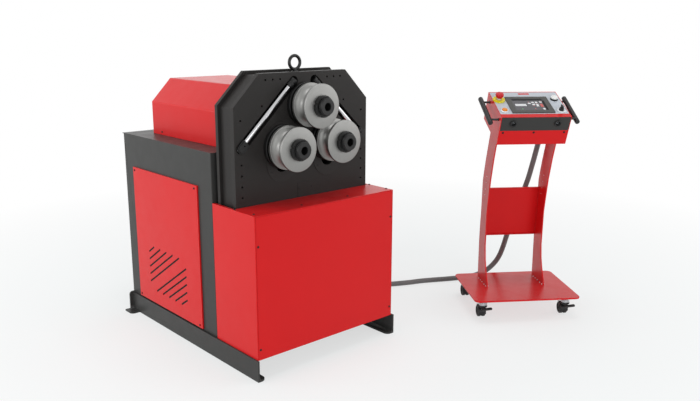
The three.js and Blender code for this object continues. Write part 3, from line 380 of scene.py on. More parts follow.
class Surface:
    """Points in millimetres, faces as arrays of corner numbers, and each point's way along its profile."""

    def __init__(self, points, faces, along=None):
        self.points = np.asarray(points, float).reshape(-1, 3)
        self.faces = [np.asarray(f, int) for f in faces]
        self.along = np.zeros(len(self.points)) if along is None else np.asarray(along, float).ravel()

    def __add__(self, other):
        shift = len(self.points)
        return Surface(
            np.vstack([self.points, other.points]),
            self.faces + [f + shift for f in other.faces],
            np.concatenate([self.along, other.along]))

    def at(self, places):
        """Copies of the surface, one moved to each place."""
        places = np.asarray(places, float).reshape(-1, 3)
        count = len(self.points)
        points = self.points[None] + places[:, None]
        steps = count * np.arange(len(places))[:, None, None]
        faces = [(f[None] + steps).reshape(-1, f.shape[1]) for f in self.faces]
        return Surface(points, faces, np.tile(self.along, len(places)))

    def moved(self, *columns):
        """The surface with its x, y and z taken along three directions, to turn or mirror it."""
        return Surface(self.points @ np.array(columns, float), self.faces, self.along)


def together(surfaces):
    """Several surfaces as one."""
    first, *others = surfaces
    return sum(others, first)


def lattice(rows, columns, round_rows=False):
    """The quads of a grid of points numbered row by row, each row closed on itself; round rows join the
    last one to the first."""
    r, c = np.meshgrid(np.arange(rows if round_rows else rows - 1), np.arange(columns), indexing="ij")
    below, beside = (r + 1) % rows, (c + 1) % columns
    corners = [r * columns + c, below * columns + c, below * columns + beside, r * columns + beside]
    return np.stack(corners, -1).reshape(-1, 4)


def across(axis):
    """Two directions square to an axis and to each other."""
    axis = np.asarray(axis, float) / np.linalg.norm(axis)
    helper = np.array([1.0, 0, 0]) if abs(axis[0]) < 0.8 else np.array([0, 0, 1.0])
    first = np.cross(axis, helper)
    first /= np.linalg.norm(first)
    return axis, first, np.cross(axis, first)


def full_turn(sides):
    """Evenly spaced angles round a circle, the first not repeated."""
    return np.linspace(0, 2 * np.pi, sides, endpoint=False)


def turned(profile, origin=(0, 0, 0), axis=(0, 1, 0), sides=64, trim=None):
    """A profile of radius r and distance d turned about an axis:
    point = origin + d axis + r (cos a first + sin a second), a from 0 to a full turn.
    trim(r, d, a) may change the radius with the angle, for notches, flutes and hexagons.
    A profile that starts and ends at the axis closes on its poles; any other closes on itself. sides is
    how many angles there are, or the angles themselves."""
    profile = np.asarray(profile, float)
    axis, first, second = across(axis)
    angle = full_turn(sides) if np.isscalar(sides) else np.asarray(sides, float)
    radius = np.repeat(profile[:, :1], len(angle), axis=1)
    distance = np.repeat(profile[:, 1:], len(angle), axis=1)
    if trim is not None:
        radius = trim(radius, distance, np.broadcast_to(angle, radius.shape))
    spoke = np.cos(angle)[:, None] * first + np.sin(angle)[:, None] * second
    points = np.asarray(origin, float) + distance[..., None] * axis + radius[..., None] * spoke[None]
    steps = np.linalg.norm(np.diff(profile, axis=0), axis=1)
    along = np.repeat(np.concatenate([[0], np.cumsum(steps)])[:, None], len(angle), axis=1)
    poles = profile[0, 0] == 0 and profile[-1, 0] == 0
    return Surface(points, [lattice(len(profile), len(angle), round_rows=not poles)], along)


def softened_corners(profile, radius, steps=2):
    """The profile with each inner corner replaced by a short curve: a blend from the point before to the
    point after it, (1-t)^2 p + 2t(1-t) corner + t^2 q, with p and q one radius away from the corner."""
    profile = np.asarray(profile, float)
    before, corner, after = profile[:-2], profile[1:-1], profile[2:]
    back, ahead = before - corner, after - corner
    back_length = np.linalg.norm(back, axis=1, keepdims=True)
    ahead_length = np.linalg.norm(ahead, axis=1, keepdims=True)
    p = corner + back / back_length * np.minimum(radius, back_length * 0.45)
    q = corner + ahead / ahead_length * np.minimum(radius, ahead_length * 0.45)
    t = np.linspace(0, 1, steps + 1)[None, :, None]
    curve = (1 - t) ** 2 * p[:, None] + 2 * t * (1 - t) * corner[:, None] + t ** 2 * q[:, None]
    return np.vstack([profile[:1], curve.reshape(-1, 2), profile[-1:]])


def swept(path, radius, sides, level=(0, 0, 1), closed=False):
    """A round section carried along a path: point = path(s) + r(s) (cos a side + sin a up), where side is
    square to the path and to the level direction, and up is square to both."""
    path = np.asarray(path, float)
    radius = np.broadcast_to(np.asarray(radius, float), len(path))
    if closed:
        heading = np.roll(path, -1, axis=0) - np.roll(path, 1, axis=0)
    else:
        heading = np.gradient(path, axis=0)
    heading /= np.linalg.norm(heading, axis=1, keepdims=True)
    side = np.cross(heading, np.asarray(level, float))
    side /= np.linalg.norm(side, axis=1, keepdims=True)
    up = np.cross(side, heading)
    angle = full_turn(sides)
    ring = np.cos(angle)[None, :, None] * side[:, None] + np.sin(angle)[None, :, None] * up[:, None]
    points = path[:, None] + radius[:, None, None] * ring
    steps = np.concatenate([[0], np.cumsum(np.linalg.norm(np.diff(path, axis=0), axis=1))])
    along = np.repeat(steps[:, None], sides, axis=1)
    faces = [lattice(len(path), sides, round_rows=closed)]
    if not closed:
        last = (len(path) - 1) * sides
        faces += [np.arange(sides)[None], (last + np.arange(sides))[None]]
    return Surface(points, faces, along)


def arc(centre, radius, start, end, steps):
    """Points on an arc in degrees, its ends included."""
    angle = np.radians(np.linspace(start, end, steps + 1))
    return np.stack([centre[0] + radius * np.cos(angle), centre[1] + radius * np.sin(angle)], -1)


def rounded_rectangle(left, right, low, high, radius, steps=5):
    """A rectangle whose corners are quarter circles, anticlockwise."""
    return np.vstack([
        arc((right - radius, low + radius), radius, -90, 0, steps),
        arc((right - radius, high - radius), radius, 0, 90, steps),
        arc((left + radius, high - radius), radius, 90, 180, steps),
        arc((left + radius, low + radius), radius, 180, 270, steps)])


def obround(start, end, radius, steps=12):
    """A slot with round ends, between the centres of its ends."""
    turn = math.degrees(math.atan2(end[1] - start[1], end[0] - start[0]))
    return np.vstack([
        arc(start, radius, turn + 90, turn + 270, steps), arc(end, radius, turn - 90, turn + 90, steps)])


def circle(centre, radius, sides):
    """A closed ring of points."""
    return arc(centre, radius, 0, 360 - 360 / sides, sides - 1)


def anticlockwise(outline):
    """The outline turned round if it runs clockwise."""
    x, y = np.asarray(outline, float).T
    area = np.sum(x * np.roll(y, -1) - np.roll(x, -1) * y)
    return np.asarray(outline, float)[::-1] if area < 0 else np.asarray(outline, float)


def inset(outline, distance):
    """The outline moved in by a distance: each corner goes along the sum of its two edges' normals,
    divided by one plus their product, so that both edges move in by the same distance."""
    edge = np.roll(outline, -1, axis=0) - outline
    edge /= np.linalg.norm(edge, axis=1, keepdims=True)
    normal = np.stack([-edge[:, 1], edge[:, 0]], -1)
    previous = np.roll(normal, 1, axis=0)
    lean = 1 + np.sum(normal * previous, axis=1, keepdims=True)
    return outline + distance * (normal + previous) / np.maximum(lean, 0.4)


def convex_order(outline):
    """The corners of a convex outline in the order of their angle about its middle."""
    outline = np.asarray(outline, float)
    away = outline - outline.mean(0)
    return outline[np.argsort(np.arctan2(away[:, 1], away[:, 0]))]


AXES = {"xy": (0, 1, 2), "xz": (0, 2, 1), "yz": (1, 2, 0)}


def slab(outline, depth, lie, holes, rounding, steps=2):
    """A flat outline carried through its depth, with holes, every edge rounded by a quarter circle:
    row k is the outline moved in by r (1 - cos b) at a depth of r (1 - sin b), b from 90 degrees to 0,
    and the same at the far side. lie names the two axes that the outline is drawn in."""
    loops = [anticlockwise(outline)] + [anticlockwise(h)[::-1] for h in holes]
    turn = np.radians(np.linspace(90, 0, steps + 1))
    drawn_in = rounding * (1 - np.cos(turn))
    deep = rounding * (1 - np.sin(turn))
    insets = np.concatenate([drawn_in, drawn_in[::-1]])
    depths = np.concatenate([depth[0] + deep, depth[1] - deep[::-1]])
    rows = len(insets)
    first, second, third = AXES[lie]
    points, faces, near, far, start = [], [], [], [], 0
    for loop in loops:
        count = len(loop)
        drawn = np.stack([inset(loop, d) for d in insets])
        part = np.zeros((rows, count, 3))
        part[..., first], part[..., second] = drawn[..., 0], drawn[..., 1]
        part[..., third] = depths[:, None]
        points.append(part.reshape(-1, 3))
        faces.append(lattice(rows, count) + start)
        near.append((start + np.arange(count), drawn[0]))
        far.append((start + (rows - 1) * count + np.arange(count), drawn[-1]))
        start += rows * count
    for cap in (near, far):
        numbers = np.concatenate([n for n, _ in cap])
        corners = [[Vector((*p, 0)) for p in drawn] for _, drawn in cap]
        faces.append(numbers[np.array(tessellate_polygon(corners))])
    return Surface(np.vstack(points), faces)


def polygon_radius(sides, inner):
    """The radius at an angle of a regular polygon whose flats are the given distance from its middle."""
    part = 2 * np.pi / sides
    return lambda a: inner / np.cos((a + part / 2) % part - part / 2)


# From drawings to the row frame, in metres


def machine(points):
    """Machine millimetres to the row frame."""
    return np.asarray(points, float) / 1000 + MACHINE


def console(points):
    """Console millimetres, turned about the upright axis and moved, to the row frame."""
    x, y, z = np.moveaxis(np.asarray(points, float), -1, 0)
    c, s = math.cos(CONSOLE_TURN), math.sin(CONSOLE_TURN)
    return machine(np.stack([CONSOLE_AT[0] + c * x - s * y, CONSOLE_AT[1] + s * x + c * y, z], -1))


def box_point(down, below):
    """Console y and z of a point down the box's slope and below its top face."""
    c, s = math.cos(BOX_SLOPE), math.sin(BOX_SLOPE)
    return BOX_TOP_REAR[0] - down * c + below * s, BOX_TOP_REAR[1] - down * s - below * c


def fascia(points):
    """x across the box's top face, y down its slope, z above it, to the row frame."""
    x, down, above = np.moveaxis(np.asarray(points, float), -1, 0)
    y, z = box_point(down, -above)
    return console(np.stack([x, y, z], -1))


def front_strip(points):
    """x across the box's front face, y down it, z out of it, to the row frame."""
    x, below, out = np.moveaxis(np.asarray(points, float), -1, 0)
    y, z = box_point(BOX_DEPTH + out, below)
    return console(np.stack([x, y, z], -1))


# Pieces


def finish_mesh(mesh, sharp):
    """Joins doubled points, which closes poles and seams, turns the faces outwards and shades them smooth
    but for edges sharper than the given angle."""
    work = bmesh.new()
    work.from_mesh(mesh)
    bmesh.ops.remove_doubles(work, verts=work.verts, dist=2e-6)
    bmesh.ops.dissolve_degenerate(work, edges=work.edges, dist=1e-7)
    bmesh.ops.recalc_face_normals(work, faces=work.faces)
    work.to_mesh(mesh)
    work.free()
    mesh.shade_smooth()
    mesh.set_sharp_from_angle(angle=math.radians(sharp))


def piece(name, surface, finish, body="root", into=machine, stands_for=(), sharp=32, flat=False):
    """A new piece from a surface: its mesh in the row frame, its finish, the body it rides on and
    the CAD nodes it stands for. A flat one has its normals weighted by face, so that its faces stay plane."""
    mesh = bpy.data.meshes.new(name)
    mesh.from_pydata(into(surface.points), [], [row for f in surface.faces for row in f.tolist()])
    corners = np.concatenate([f.ravel() for f in surface.faces])
    route = np.zeros((len(corners), 2), np.float32)
    route[:, 1] = surface.along[corners] / 1000
    mesh.uv_layers.new(name="along").data.foreach_set("uv", route.ravel())
    finish_mesh(mesh, sharp)
    made = bpy.data.objects.new(name, mesh)
    bpy.context.scene.collection.objects.link(made)
    mesh.materials.append(FINISH[finish])
    if flat:
        weighted = made.modifiers.new("even_faces", "WEIGHTED_NORMAL")
        weighted.keep_sharp = True
    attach(made, body)
    if stands_for:
        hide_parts(*([stands_for] if isinstance(stands_for, str) else stands_for))
    return made


def dressed(node, name, finish, bends=None):
    """The CAD node's own form with its edges finished: its loose triangles are joined, its flat faces made
    whole, and a Bevel rounds the cut edges a little and the bent ones by up to the bend radius. bends(middle,
    direction) takes each edge's middle in machine millimetres and its direction, and gives the share of the
    bend radius that the edge gets: 0 for a cut one, and None for one that stays sharp."""
    sizes = bpy.context.scene.ring_roller_sheet
    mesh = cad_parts[node].data.copy()
    mesh.name = name
    mesh.materials.clear()
    mesh.materials.append(FINISH[finish])
    work = bmesh.new()
    work.from_mesh(mesh)
    bmesh.ops.remove_doubles(work, verts=work.verts, dist=1e-5)
    bmesh.ops.dissolve_limit(work, angle_limit=math.radians(0.4), verts=work.verts, edges=work.edges)
    weight = work.edges.layers.float.new("bevel_weight_edge")
    for edge in work.edges:
        if not edge.is_convex or edge.calc_face_angle(0) < math.radians(30):
            continue
        a, b = (np.array(v.co) for v in edge.verts)
        middle = ((a + b) / 2 - MACHINE) * 1000
        direction = (b - a) / np.linalg.norm(b - a)
        share = bends(middle, direction) if bends else 0.0
        edge[weight] = 0.0 if share is None else max(share, sizes.edge / sizes.bend)
    work.to_mesh(mesh)
    work.free()
    made = bpy.data.objects.new(name, mesh)
    bpy.context.scene.collection.objects.link(made)
    bevel = made.modifiers.new("finished_edges", "BEVEL")
    bevel.width = sizes.bend
    bevel.limit_method = "WEIGHT"
    bevel.segments = 3
    weighted = made.modifiers.new("even_faces", "WEIGHTED_NORMAL")
    weighted.keep_sharp = True
    mesh.shade_smooth()
    mesh.set_sharp_from_angle(angle=math.radians(32))
    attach(made, "root")
    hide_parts(node)
    return made


def refinish(node, finish):
    """Gives a CAD node that stays as it is its material."""
    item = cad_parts[node]
    item.data.materials.clear()
    item.data.materials.append(FINISH[finish])


def screw(radius, height=2.6):
    """A button head along +Z from z = 0: a flattened dome r = R sqrt(1 - 0.72 (z/h)^2) with a hexagon
    socket."""
    rise = np.linspace(0, 1, 6)
    dome = np.stack([radius * np.sqrt(1 - 0.72 * rise ** 2), height * rise], -1)
    key = radius * 0.48
    profile = np.vstack([
        [[0, -0.4], [radius, -0.4]], dome,
        [[key * 1.16, height], [key, height - 0.2], [key, height * 0.35], [0, height * 0.35]]])
    shape = polygon_radius(6, key)

    def trim(r, d, a):
        """Six flats inside the socket."""
        inside = (r <= key * 1.01) & (r > 0)
        return np.where(inside, shape(a), r)

    return turned(profile, axis=(0, 0, 1), sides=24, trim=trim)


def facing(surface, way):
    """A surface drawn along +Z turned to face -x, +x, -y, +y or up."""
    columns = {
        "up": ((1, 0, 0), (0, 1, 0), (0, 0, 1)),
        "front": ((1, 0, 0), (0, 0, 1), (0, -1, 0)),
        "back": ((-1, 0, 0), (0, 0, 1), (0, 1, 0)),
        "left": ((0, 1, 0), (0, 0, 1), (-1, 0, 0)),
        "right": ((0, -1, 0), (0, 0, 1), (1, 0, 0)),
    }
    return surface.moved(*columns[way])


def screws(places, way="up"):
    """Button head screws at the places, as one surface."""
    radius = bpy.context.scene.ring_roller_sheet.screw * 1000
    return facing(screw(radius), way).at(places)


class RINGROLLER_OT_stage(Operator):
    """Sets the floor, the lamps, the pale surroundings and the camera"""

    bl_idname = "ring_roller.stage"
    bl_label = "Stage"

    def execute(self, context):
        scene = context.scene
        scene.view_settings.view_transform = "Standard"
        self.camera(scene)
        self.floor(scene)
        self.surroundings(scene)
        self.lamp(scene, "key", (-1.8, -5.6, 1.9), 3.4, 2.2, 95)
        self.lamp(scene, "fill", (-5.2, 0.4, 1.9), 3.2, 2.2, 85)
        self.lamp(scene, "left_back", (-5.5, 4.5, 2.5), 3.0, 2.4, 95)
        self.lamp(scene, "side", (3.8, -3.4, 2.1), 4.6, 3.4, 75)
        self.lamp(scene, "top", (0.3, 0.0, 6.0), 3.0, 3.0, 90)
        return {"FINISHED"}

    def camera(self, scene):
        """A plain perspective camera: heading, then pitch down, then a small roll."""
        heading, down, roll = math.radians(42.022), math.radians(13.190), math.radians(0.195)
        focal_pixels, photo_width = 752.84, 700
        level = math.cos(down)
        ahead = Vector((math.sin(heading) * level, math.cos(heading) * level, -math.sin(down)))
        right = Vector((math.cos(heading), -math.sin(heading), 0))
        up = right.cross(ahead)
        rolled = right * math.cos(roll) + up * math.sin(roll)
        upright = up * math.cos(roll) - right * math.sin(roll)
        lens = bpy.data.cameras.new("photo_camera")
        camera = bpy.data.objects.new("photo_camera", lens)
        scene.collection.objects.link(camera)
        lens.sensor_fit = "HORIZONTAL"
        lens.sensor_width = 36
        lens.lens = lens.sensor_width * focal_pixels / photo_width
        lens.clip_start, lens.clip_end = 0.05, 60
        turn = Matrix((rolled, upright, -ahead)).transposed().to_4x4()
        camera.matrix_world = Matrix.Translation(Vector(machine([-2047.0, -2405.1, 1458.9]))) @ turn
        scene.camera = camera

    def floor(self, scene):
        """A flat disc, r from 0 to 14 m, that shows white to the camera and keeps the shadows."""
        ring, sides = np.array([0.02, 1, 2, 4, 8, 14.0])[:, None], 96
        angle = full_turn(sides)
        points = np.stack([ring * np.cos(angle), ring * np.sin(angle), np.zeros((len(ring), sides))], -1)
        mesh = bpy.data.meshes.new("floor")
        quads = lattice(len(ring), sides)[:, ::-1].tolist()
        mesh.from_pydata(points.reshape(-1, 3), [], quads + [list(range(sides))])
        floor = bpy.data.objects.new("floor", mesh)
        scene.collection.objects.link(floor)
        # Its red is a little low, against the red that the machine throws on it
        material, tree, shader = begin("pale_floor", Roughness=0.9, Base_Color=shade(linear("#EAF4F4")))
        place = add(tree, "TexCoord").outputs["Object"]
        grain = add(tree, "TexNoise", {"Vector": place, "Scale": 60.0, "Detail": 2.0})
        raised(tree, shader, grain.outputs["Fac"], 0.0001)
        glow = add(tree, "Emission", {"Color": (1, 1, 1, 1), "Strength": 1.0})
        away = add(tree, "VectorMath", {0: place}, operation="LENGTH")
        whiteness = between(tree, away.outputs["Value"], 0.64, 1.0, 1.0, 3.6)
        share = add(tree, "Math", {0: self.shown(tree), 1: whiteness}, operation="MULTIPLY")
        mix = add(tree, "MixShader", {
            0: share.outputs[0], 1: shader.outputs["BSDF"], 2: glow.outputs["Emission"]})
        output = next(n for n in tree.nodes if n.type == "OUTPUT_MATERIAL")
        tree.links.new(mix.outputs[0], output.inputs["Surface"])
        mesh.materials.append(material)

    def surroundings(self, scene):
        """White to the camera and to mirrors, a plain dim light to everything else."""
        world = bpy.data.worlds.new("studio")
        world.use_nodes = True
        scene.world = world
        tree = world.node_tree
        tree.nodes.clear()
        dim = add(tree, "Background", {"Color": (1, 1, 1, 1), "Strength": 0.3})
        white = add(tree, "Background", {"Color": (1, 1, 1, 1), "Strength": 1.0})
        mix = add(tree, "MixShader", {0: self.shown(tree), 1: dim.outputs[0], 2: white.outputs[0]})
        add(tree, "OutputWorld", {"Surface": mix.outputs[0]})

    def shown(self, tree):
        """1 for what the camera sees by itself, in a mirror or through glass, else 0."""
        path = add(tree, "LightPath")
        mirrors = add(tree, "Math", {
            0: path.outputs["Is Glossy Ray"], 1: path.outputs["Is Transmission Ray"]}, operation="MAXIMUM")
        return add(tree, "Math", {
            0: path.outputs["Is Camera Ray"], 1: mirrors.outputs[0]}, operation="MAXIMUM").outputs[0]

    def lamp(self, scene, name, place, width, height, power):
        """A soft rectangular lamp that looks at the machine's middle."""
        light = bpy.data.lights.new(name, "AREA")
        light.shape = "RECTANGLE"
        light.size, light.size_y = width, height
        light.energy = power
        lamp = bpy.data.objects.new(name, light)
        scene.collection.objects.link(lamp)
        lamp.location = place
        aim = Vector((0, 0, 0.6)) - Vector(place)
        lamp.rotation_euler = aim.to_track_quat("-Z", "Y").to_euler()


class RINGROLLER_OT_conduit(Operator):
    """Makes the sheathed conduit and its two glands"""

    bl_idname = "ring_roller.conduit"
    bl_label = "Conduit"

    def route(self):
        """The conduit's points in the row frame, from the machine's gland over the floor to the console."""
        lie = 14.2
        on_machine = [
            [427.6, 700, 125], [456, 700, 124.5], [500, 697, 116], [545, 686, 97], [592, 667, 70],
            [638, 642, 43], [684, 610, 23], [732, 572, lie + 1.5], [780, 532, lie], [825, 494, lie]]
        on_console = [
            [-591, 371, lie], [-487, 388, lie], [-424, 404, lie], [-345, 416, lie], [-273, 424, lie],
            [-212, 433, lie], [-166, 436, lie + 1], [-124, 424, 25], [-87, 394, 48], [-50, 342, 91],
            [-20, 292, 152], [-6, 262, 201], [6, 240, 262], [18, 222, 334], [40, 210, 420], [68, 202, 515],
            [96, 193, 609], [106, 180, 660], [113, 165, 715], [119, 146, 775], [124, 124, 840],
            self.under_box(72), self.under_box(40.6)]
        return np.vstack([machine(on_machine), console(on_console)])

    def under_box(self, distance):
        """A point on the console gland's axis, the distance below the box's underside."""
        c, s = math.cos(BOX_SLOPE), math.sin(BOX_SLOPE)
        front, low = box_point(BOX_DEPTH, BOX_DROP)
        x, y = 128, 70.0
        return [x, y + distance * s, low + (y - front) * math.tan(BOX_SLOPE) - distance * c]

    def smooth(self, points, step):
        """A centripetal Catmull-Rom curve through the points, at even steps: between two points it blends
        the three lines through four neighbours, each knot spaced by the square root of its chord."""
        ends = [2 * points[0] - points[1], 2 * points[-1] - points[-2]]
        p = np.vstack([ends[:1], points, ends[1:]])
        knots = np.concatenate([[0], np.cumsum(np.linalg.norm(np.diff(p, axis=0), axis=1) ** 0.5)])
        fine = np.linspace(0, 1, 60, endpoint=False)
        count = len(points) - 1
        i = np.repeat(np.arange(count), len(fine))
        t0, t1, t2, t3 = (knots[i + k] for k in range(4))
        t = t1 + np.tile(fine, count) * (t2 - t1)
        p0, p1, p2, p3 = (p[i + k] for k in range(4))

        def blend(a, b, ta, tb):
            """The line that is at a at the knot ta and at b at tb."""
            share = ((t - ta) / (tb - ta))[:, None]
            return a * (1 - share) + b * share

        a1, a2, a3 = blend(p0, p1, t0, t1), blend(p1, p2, t1, t2), blend(p2, p3, t2, t3)
        b1, b2 = blend(a1, a2, t0, t2), blend(a2, a3, t1, t3)
        curve = np.vstack([blend(b1, b2, t1, t2), points[-1:]])
        length = np.concatenate([[0], np.cumsum(np.linalg.norm(np.diff(curve, axis=0), axis=1))])
        even = np.linspace(0, length[-1], int(round(length[-1] / step)) + 1)
        return np.stack([np.interp(even, length, curve[:, k]) for k in range(3)], -1), length[-1]

    def execute(self, context):
        """The sheath sinks in between its ribs: r = D/2 - depth ((1 - cos b) / 2)^1.5, b one turn a rib."""
        sizes = context.scene.ring_roller_conduit
        route, length = self.smooth(self.route(), sizes.pitch / 6)
        ribs = np.linspace(0, length, len(route)) / sizes.pitch * 2 * np.pi
        radius = sizes.diameter / 2 - sizes.depth * 0.5 * (1 - np.cos(ribs)) ** 1.5 / 2 ** 0.5
        level = console([0, 1, 0]) - console([0, 0, 0])
        tube = swept(route * 1000, radius * 1000, 14, level)
        conduit = piece("conduit_tube", tube, "conduit", into=lambda p: p / 1000,
                        stands_for="conduit", sharp=60)
        glands = [self.gland_on_machine(), self.gland_on_console()]
        return {"FINISHED"}

    def gland(self, axis, origin):
        """A hexagon body and a fluted dome nut, turned about the gland's axis."""
        flats = polygon_radius(6, 22.0)
        profile = softened_corners([
            [0, 0], [19, 0], [19, 1.5], [24, 1.5], [24, 11.5], [20.5, 12.2], [20.5, 14], [21.5, 14],
            [21.8, 27], [20, 33], [17.2, 38], [15.5, 40], [14.2, 40], [14.2, 30], [0, 30]], 0.7)

        def trim(r, d, a):
            """Six flats round the body and 18 flutes round the nut."""
            hexagon = (d > 1.4) & (d < 12) & (r > 20.6)
            flute = (d > 14.5) & (d < 27.5) & (r > 20)
            cut = np.where(hexagon, np.minimum(flats(a), r), r)
            return np.where(flute, cut - 0.7 * (1 + np.cos(18 * a)) / 2, cut)

        return turned(profile, origin, axis, 72, trim)

    def gland_on_machine(self):
        """The gland on the cabinet's right side."""
        foot = (CABINET_HALF + 0.3, 700, 125)
        return piece("conduit_gland_machine_nut", self.gland((1, 0, 0), foot), "black",
                     stands_for="conduit_gland_machine")

    def gland_on_console(self):
        """The gland in the box's underside."""
        foot = np.array(self.under_box(0.3))
        ahead = np.array(self.under_box(1.3)) - foot
        return piece("conduit_gland_console_nut", self.gland(ahead, foot), "black",
                     into=console, stands_for="conduit_gland_console")


class RINGROLLER_OT_base(Operator):
    """Makes the welded base frame"""

    bl_idname = "ring_roller.base"
    bl_label = "Base frame"

    def execute(self, context):
        dressed("base_frame", "base_frame_welded", "grey")
        self.welds()
        return {"FINISHED"}

    def bead(self, start, end, radius=2.4):
        """A fillet weld from start to end: a round bead whose radius R (1 - 0.12 |sin(pi s / pitch)|) ripples
        along its way s and closes at both ends."""
        pitch = 2.6
        start, end = np.asarray(start, float), np.asarray(end, float)
        length = np.linalg.norm(end - start)
        share = np.linspace(0, 1, max(8, int(length / pitch * 4)))
        path = start + share[:, None] * (end - start)
        taper = np.sqrt(np.clip(1 - (2 * share - 1) ** 40, 0.02, 1))
        ripple = 1 - 0.12 * np.abs(np.sin(np.pi * share * length / pitch))
        heading = end - start
        level = (0, 0, 1) if abs(heading[2]) < 0.9 * length else (0, 1, 0)
        return swept(path, radius * taper * ripple, 10, level)

    def welds(self):
        """Beads where the cross members meet the rails."""
        beads = []
        for side in (-1, 1):
            inner, outer = side * 390.2, side * 398.3
            beads += [self.bead([inner, y, 12], [inner, y, 90]) for y in (150, 300)]
            beads.append(self.bead([inner, 152, 91.4], [inner, 298, 91.4], 1.4))
            beads.append(self.bead([outer, 1112, 10], [outer, 1112, 92], 2.2))
        piece("base_frame_welds", together(beads), "grey", sharp=50)


class RINGROLLER_OT_head(Operator):
    """Makes the bending head's plates and lifting eye"""

    bl_idname = "ring_roller.head"
    bl_label = "Bending head"

    TAPPED = (
        [(side * 334, z) for side in (-1, 1) for z in (888.5, 842.8, 796.4, 750.3, 1073)]
        + [(side * 225.5, 1125.7) for side in (-1, 1)]
        + [(side * x, 1232.5) for side in (-1, 1) for x in (129, 167, 205)])

    def execute(self, context):
        half, knee, top, top_half = 367.3, 1127.7, 1260.3, 236.1
        outline = [
            [-half, 91.4], [half, 91.4], [half, knee], [top_half, top], [-top_half, top], [-half, knee]]
        slots = [self.shaft_slot(x, SLOT_RADIUS, 14) for x in (LOWER_LEFT[0], LOWER_RIGHT[0])]
        guides = [obround((side * GUIDE_LOW[0], GUIDE_LOW[1]), (side * GUIDE_HIGH[0], GUIDE_HIGH[1]),
                          GUIDE_RADIUS, 14) for side in (-1, 1)]
        bores = [circle(UPPER, 31, 40)] + [circle(place, 4.4, 16) for place in self.TAPPED]
        plate = slab(outline, (HEAD_FRONT, HEAD_BACK), "xz", slots + guides + bores, 1.1)
        piece("head_front_plate_cut", plate, "head", stands_for="head_front_plate", flat=True)
        dressed("head_rear_frame", "head_rear_frame_welded", "head")
        plates = [self.wear_plate(x) for x in (LOWER_LEFT[0], LOWER_RIGHT[0])]
        piece("shaft_slot_wear_plates", together(plates), "wear", flat=True)
        bare_plate = slab(rounded_rectangle(-43, 43, 710, 778, 3), (162.2, 163.7), "xz", (), 0.4)
        piece("head_bare_plate", bare_plate, "head", flat=True)
        heads = facing(screw(3.4, 1.8), "front").at([[-35, 162.1, 752], [35, 162.1, 752]])
        piece("head_bare_plate_screws", heads, "screw")
        self.eye()
        return {"FINISHED"}

    def shaft_slot(self, x, radius, steps):
        """An outline round the upright slot of a lower shaft."""
        return obround((x, SLOT_LOW), (x, SLOT_HIGH), radius, steps)

    def wear_plate(self, x):
        """A thin plate round a shaft's slot, with four screw holes."""
        side = math.copysign(58, x)
        screw_holes = [circle((x + away, z), 3.1, 14)
                       for away, z in ((side, 843), (-side, 1008), (side, 1008), (-side, 843))]
        holes = [self.shaft_slot(x, 35.5, 16), *screw_holes]
        return slab(self.shaft_slot(x, 80, 24), (161.4, 163.7), "xz", holes, 0.5)

    def eye(self):
        """The ring: a circle of radius 7 carried round one of radius 29. Below it a waisted collar."""
        y, middle, sides = 230.0, 1296, 64
        angle = full_turn(sides)
        loop = np.stack([29 * np.cos(angle), np.full(sides, y), middle + 29 * np.sin(angle)], -1)
        ring = swept(loop, 7.0, 20, (0, 1, 0), closed=True)
        foot = turned(softened_corners([
            [0, 1251.3], [17.6, 1251.3], [17.6, 1255], [14.5, 1257.6], [10.5, 1260.5], [8.6, 1265],
            [8.2, 1270], [0, 1271]], 1.2, 4), (0, y, 0), (0, 0, 1), 40)
        piece("lifting_eye_forged", ring + foot, "black_steel", stands_for="lifting_eye",
              sharp=40)


class RINGROLLER_OT_guard(Operator):
    """Makes the red front guard, its panel and their screws"""

    bl_idname = "ring_roller.guard"
    bl_label = "Front guard"

    def execute(self, context):
        def bends(middle, direction):
            """An edge is bent where two of the guard's three outer faces meet."""
            along_x, along_y, along_z = np.abs(direction) > 0.9
            at_side = abs(abs(middle[0]) - GUARD_HALF) < 1.5
            at_front = middle[1] < 1.5
            at_top = abs(middle[2] - GUARD_TOP) < 1.5
            bent = (at_side and at_top and along_y) or (at_side and at_front and along_z) or (
                at_front and at_top and along_x)
            return 1.0 if bent else 0.0

        dressed("front_guard", "front_guard_bent", "red", bends=bends)
        places = [(x, z) for x in (-375.5, 375.5) for z in (138, 583.5)]
        outline = [[-385.4, 92], [385.4, 92], [385.4, 707.2], [-385.4, 707.2]]
        panel = slab(outline, (0.2, 3), "xz", [circle(place, 3.2, 14) for place in places], 0.8)
        piece("front_panel_sheet", panel, "red", stands_for="front_panel", flat=True)
        front = screws([[x, 0.5, z] for x, z in places], "front")
        top = screws([[x, y, GUARD_TOP + 0.1] for x, y in (
            (-368, 37), (-122, 37), (138, 37), (380, 37), (-382, 155.5), (383.5, 155.5))])
        piece("guard_screws", front + top, "screw")
        return {"FINISHED"}


